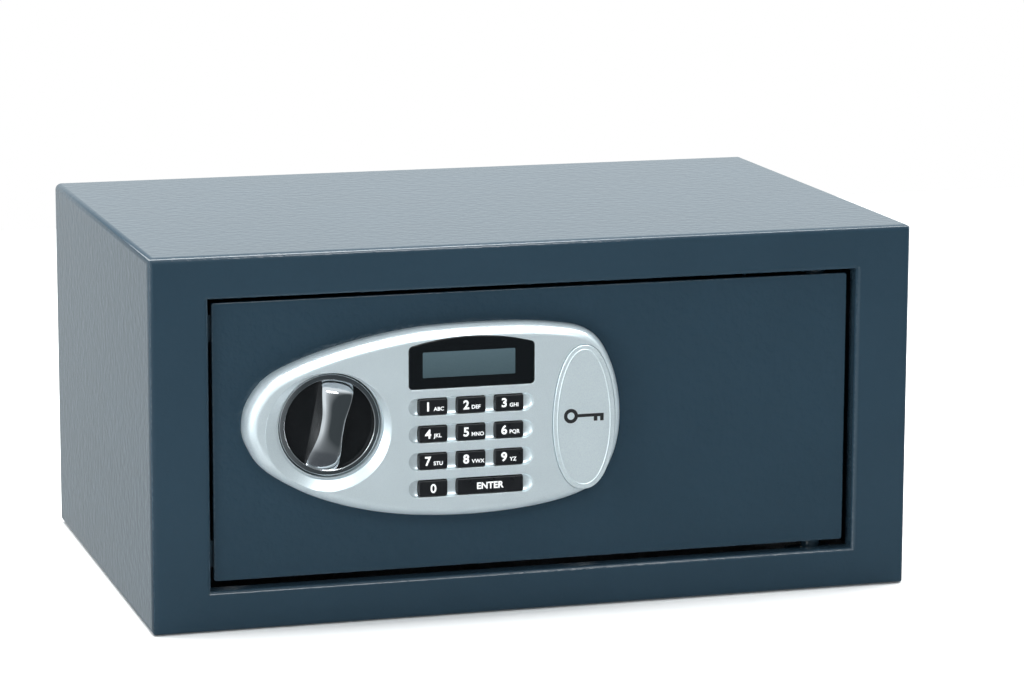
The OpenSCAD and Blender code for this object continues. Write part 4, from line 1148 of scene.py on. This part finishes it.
def screw_tree():
    """Geometry nodes: a pan-head screw with a cross recess at every vertex, heads towards +Y."""
    tree = bpy.data.node_groups.new("pan_head_screws", "GeometryNodeTree")
    tree.interface.new_socket("Geometry", in_out="INPUT", socket_type="NodeSocketGeometry")
    for label in ("Head Radius", "Head Height", "Shank Radius", "Shank Length"):
        tree.interface.new_socket(label, in_out="INPUT", socket_type="NodeSocketFloat")
    tree.interface.new_socket("Finish", in_out="INPUT", socket_type="NodeSocketMaterial")
    tree.interface.new_socket("Geometry", in_out="OUTPUT", socket_type="NodeSocketGeometry")
    given, out = tree.nodes.new("NodeGroupInput").outputs, tree.nodes.new("NodeGroupOutput").inputs

    def place(geometry, offset=None, turn=(0, 0, 0), size=None):
        node = add(tree, "GeometryNodeTransform", Geometry=geometry, Rotation=turn)
        if offset is not None:
            plug(tree, node.inputs["Translation"], offset)
        if size is not None:
            plug(tree, node.inputs["Scale"], size)
        return node.outputs[0]

    def times(value, factor):
        return math_node(tree, "MULTIPLY", value, factor)

    def triple(x=0.0, y=0.0, z=0.0):
        return add(tree, "ShaderNodeCombineXYZ", X=x, Y=y, Z=z).outputs[0]

    def solid(operation, first, *others):
        node = tree.nodes.new("GeometryNodeMeshBoolean")
        node.operation = operation
        if operation == "DIFFERENCE":
            plug(tree, node.inputs["Mesh 1"], first)
        else:
            plug(tree, node.inputs["Mesh 2"], first)
        for other in others:
            tree.links.new(other, node.inputs["Mesh 2"])
        return node.outputs[0]

    radius, height = given["Head Radius"], given["Head Height"]
    ball = add(tree, "GeometryNodeMeshUVSphere", Segments=32, Rings=16, Radius=1.0)
    dome = place(ball.outputs[0], size=triple(radius, radius, height))
    under = add(tree, "GeometryNodeMeshCube", Size=triple(
        times(radius, 3.0), times(radius, 3.0), times(height, 2.0)))
    below = place(under.outputs[0], offset=triple(z=times(height, -1.0)))
    head = solid("DIFFERENCE", dome, below)
    slot = add(tree, "GeometryNodeMeshCube", Size=triple(
        times(radius, 1.1), times(radius, 0.24), height)).outputs[0]
    slot_z = triple(z=height)
    head = solid("DIFFERENCE", head, place(slot, offset=slot_z),
                 place(slot, offset=slot_z, turn=(0, 0, math.pi / 2)))
    shank = add(tree, "GeometryNodeMeshCylinder", Vertices=24, Radius=given["Shank Radius"],
                Depth=given["Shank Length"])
    sunk = math_node(tree, "ADD", times(given["Shank Length"], -0.5), times(height, 0.3))
    screw = solid("UNION", head, place(shank.outputs[0], offset=triple(z=sunk)))
    points = tree.nodes.new("GeometryNodeMeshToPoints")
    plug(tree, points.inputs["Mesh"], given["Geometry"])
    rows = add(tree, "GeometryNodeInstanceOnPoints", Points=points.outputs[0], Instance=screw,
               Rotation=(-math.pi / 2, 0, 0))
    real = add(tree, "GeometryNodeRealizeInstances", Geometry=rows.outputs[0])
    finished = add(tree, "GeometryNodeSetMaterial", Geometry=real.outputs[0],
                   Material=given["Finish"])
    plug(tree, out["Geometry"], finished.outputs[0])
    return tree


# Height of the head and radius of the shank, in millimetres.
SCREW_SIZES = {"board_screws": (1.0, 0.85), "housing_screws": (2.4, 1.65),
               "cover_screws": (2.4, 1.95)}


def make_screws(tree, node, name, body):
    """The screws of one CAD node, each in its place and at its size."""
    boxes = solids(node)
    mesh = bpy.data.meshes.new(name)
    low, high = boxes[0]
    radius = (high.x - low.x) / 2
    height, shank = (size * MM for size in SCREW_SIZES[node])
    mesh.from_pydata([((a.x + b.x) / 2, b.y - height, (a.z + b.z) / 2) for a, b in boxes], [], [])
    row = new_object(name, mesh)
    step = row.modifiers.new("screws", "NODES")
    step.node_group = tree
    sockets = {s.name: s.identifier for s in tree.interface.items_tree if s.in_out == "INPUT"}
    sizes = {"Head Radius": radius, "Head Height": height, "Shank Radius": shank,
             "Shank Length": high.y - low.y - height, "Finish": FINISH["fastener"]}
    for label, value in sizes.items():
        step[sockets[label]] = value
    settle(row)
    dress(row, name, body, "fastener", [node], soft=32)


make_inner_cover()
make_battery_lid()
screws = screw_tree()
make_screws(screws, "cover_screws", "cover_pan_screws", "door")
make_screws(screws, "housing_screws", "panel_pan_screws", "door")
make_screws(screws, "board_screws", "board_pan_screws", "door")

# ---- CAD nodes that keep their own shape ----

SLOT_OF = {part["node"]: part["material_slot"] for part in frame["record"]["subparts"]}
for node, made in frame["nodes"].items():
    made.data.materials.clear()
    made.data.materials.append(FINISH[SLOT_OF[node]])
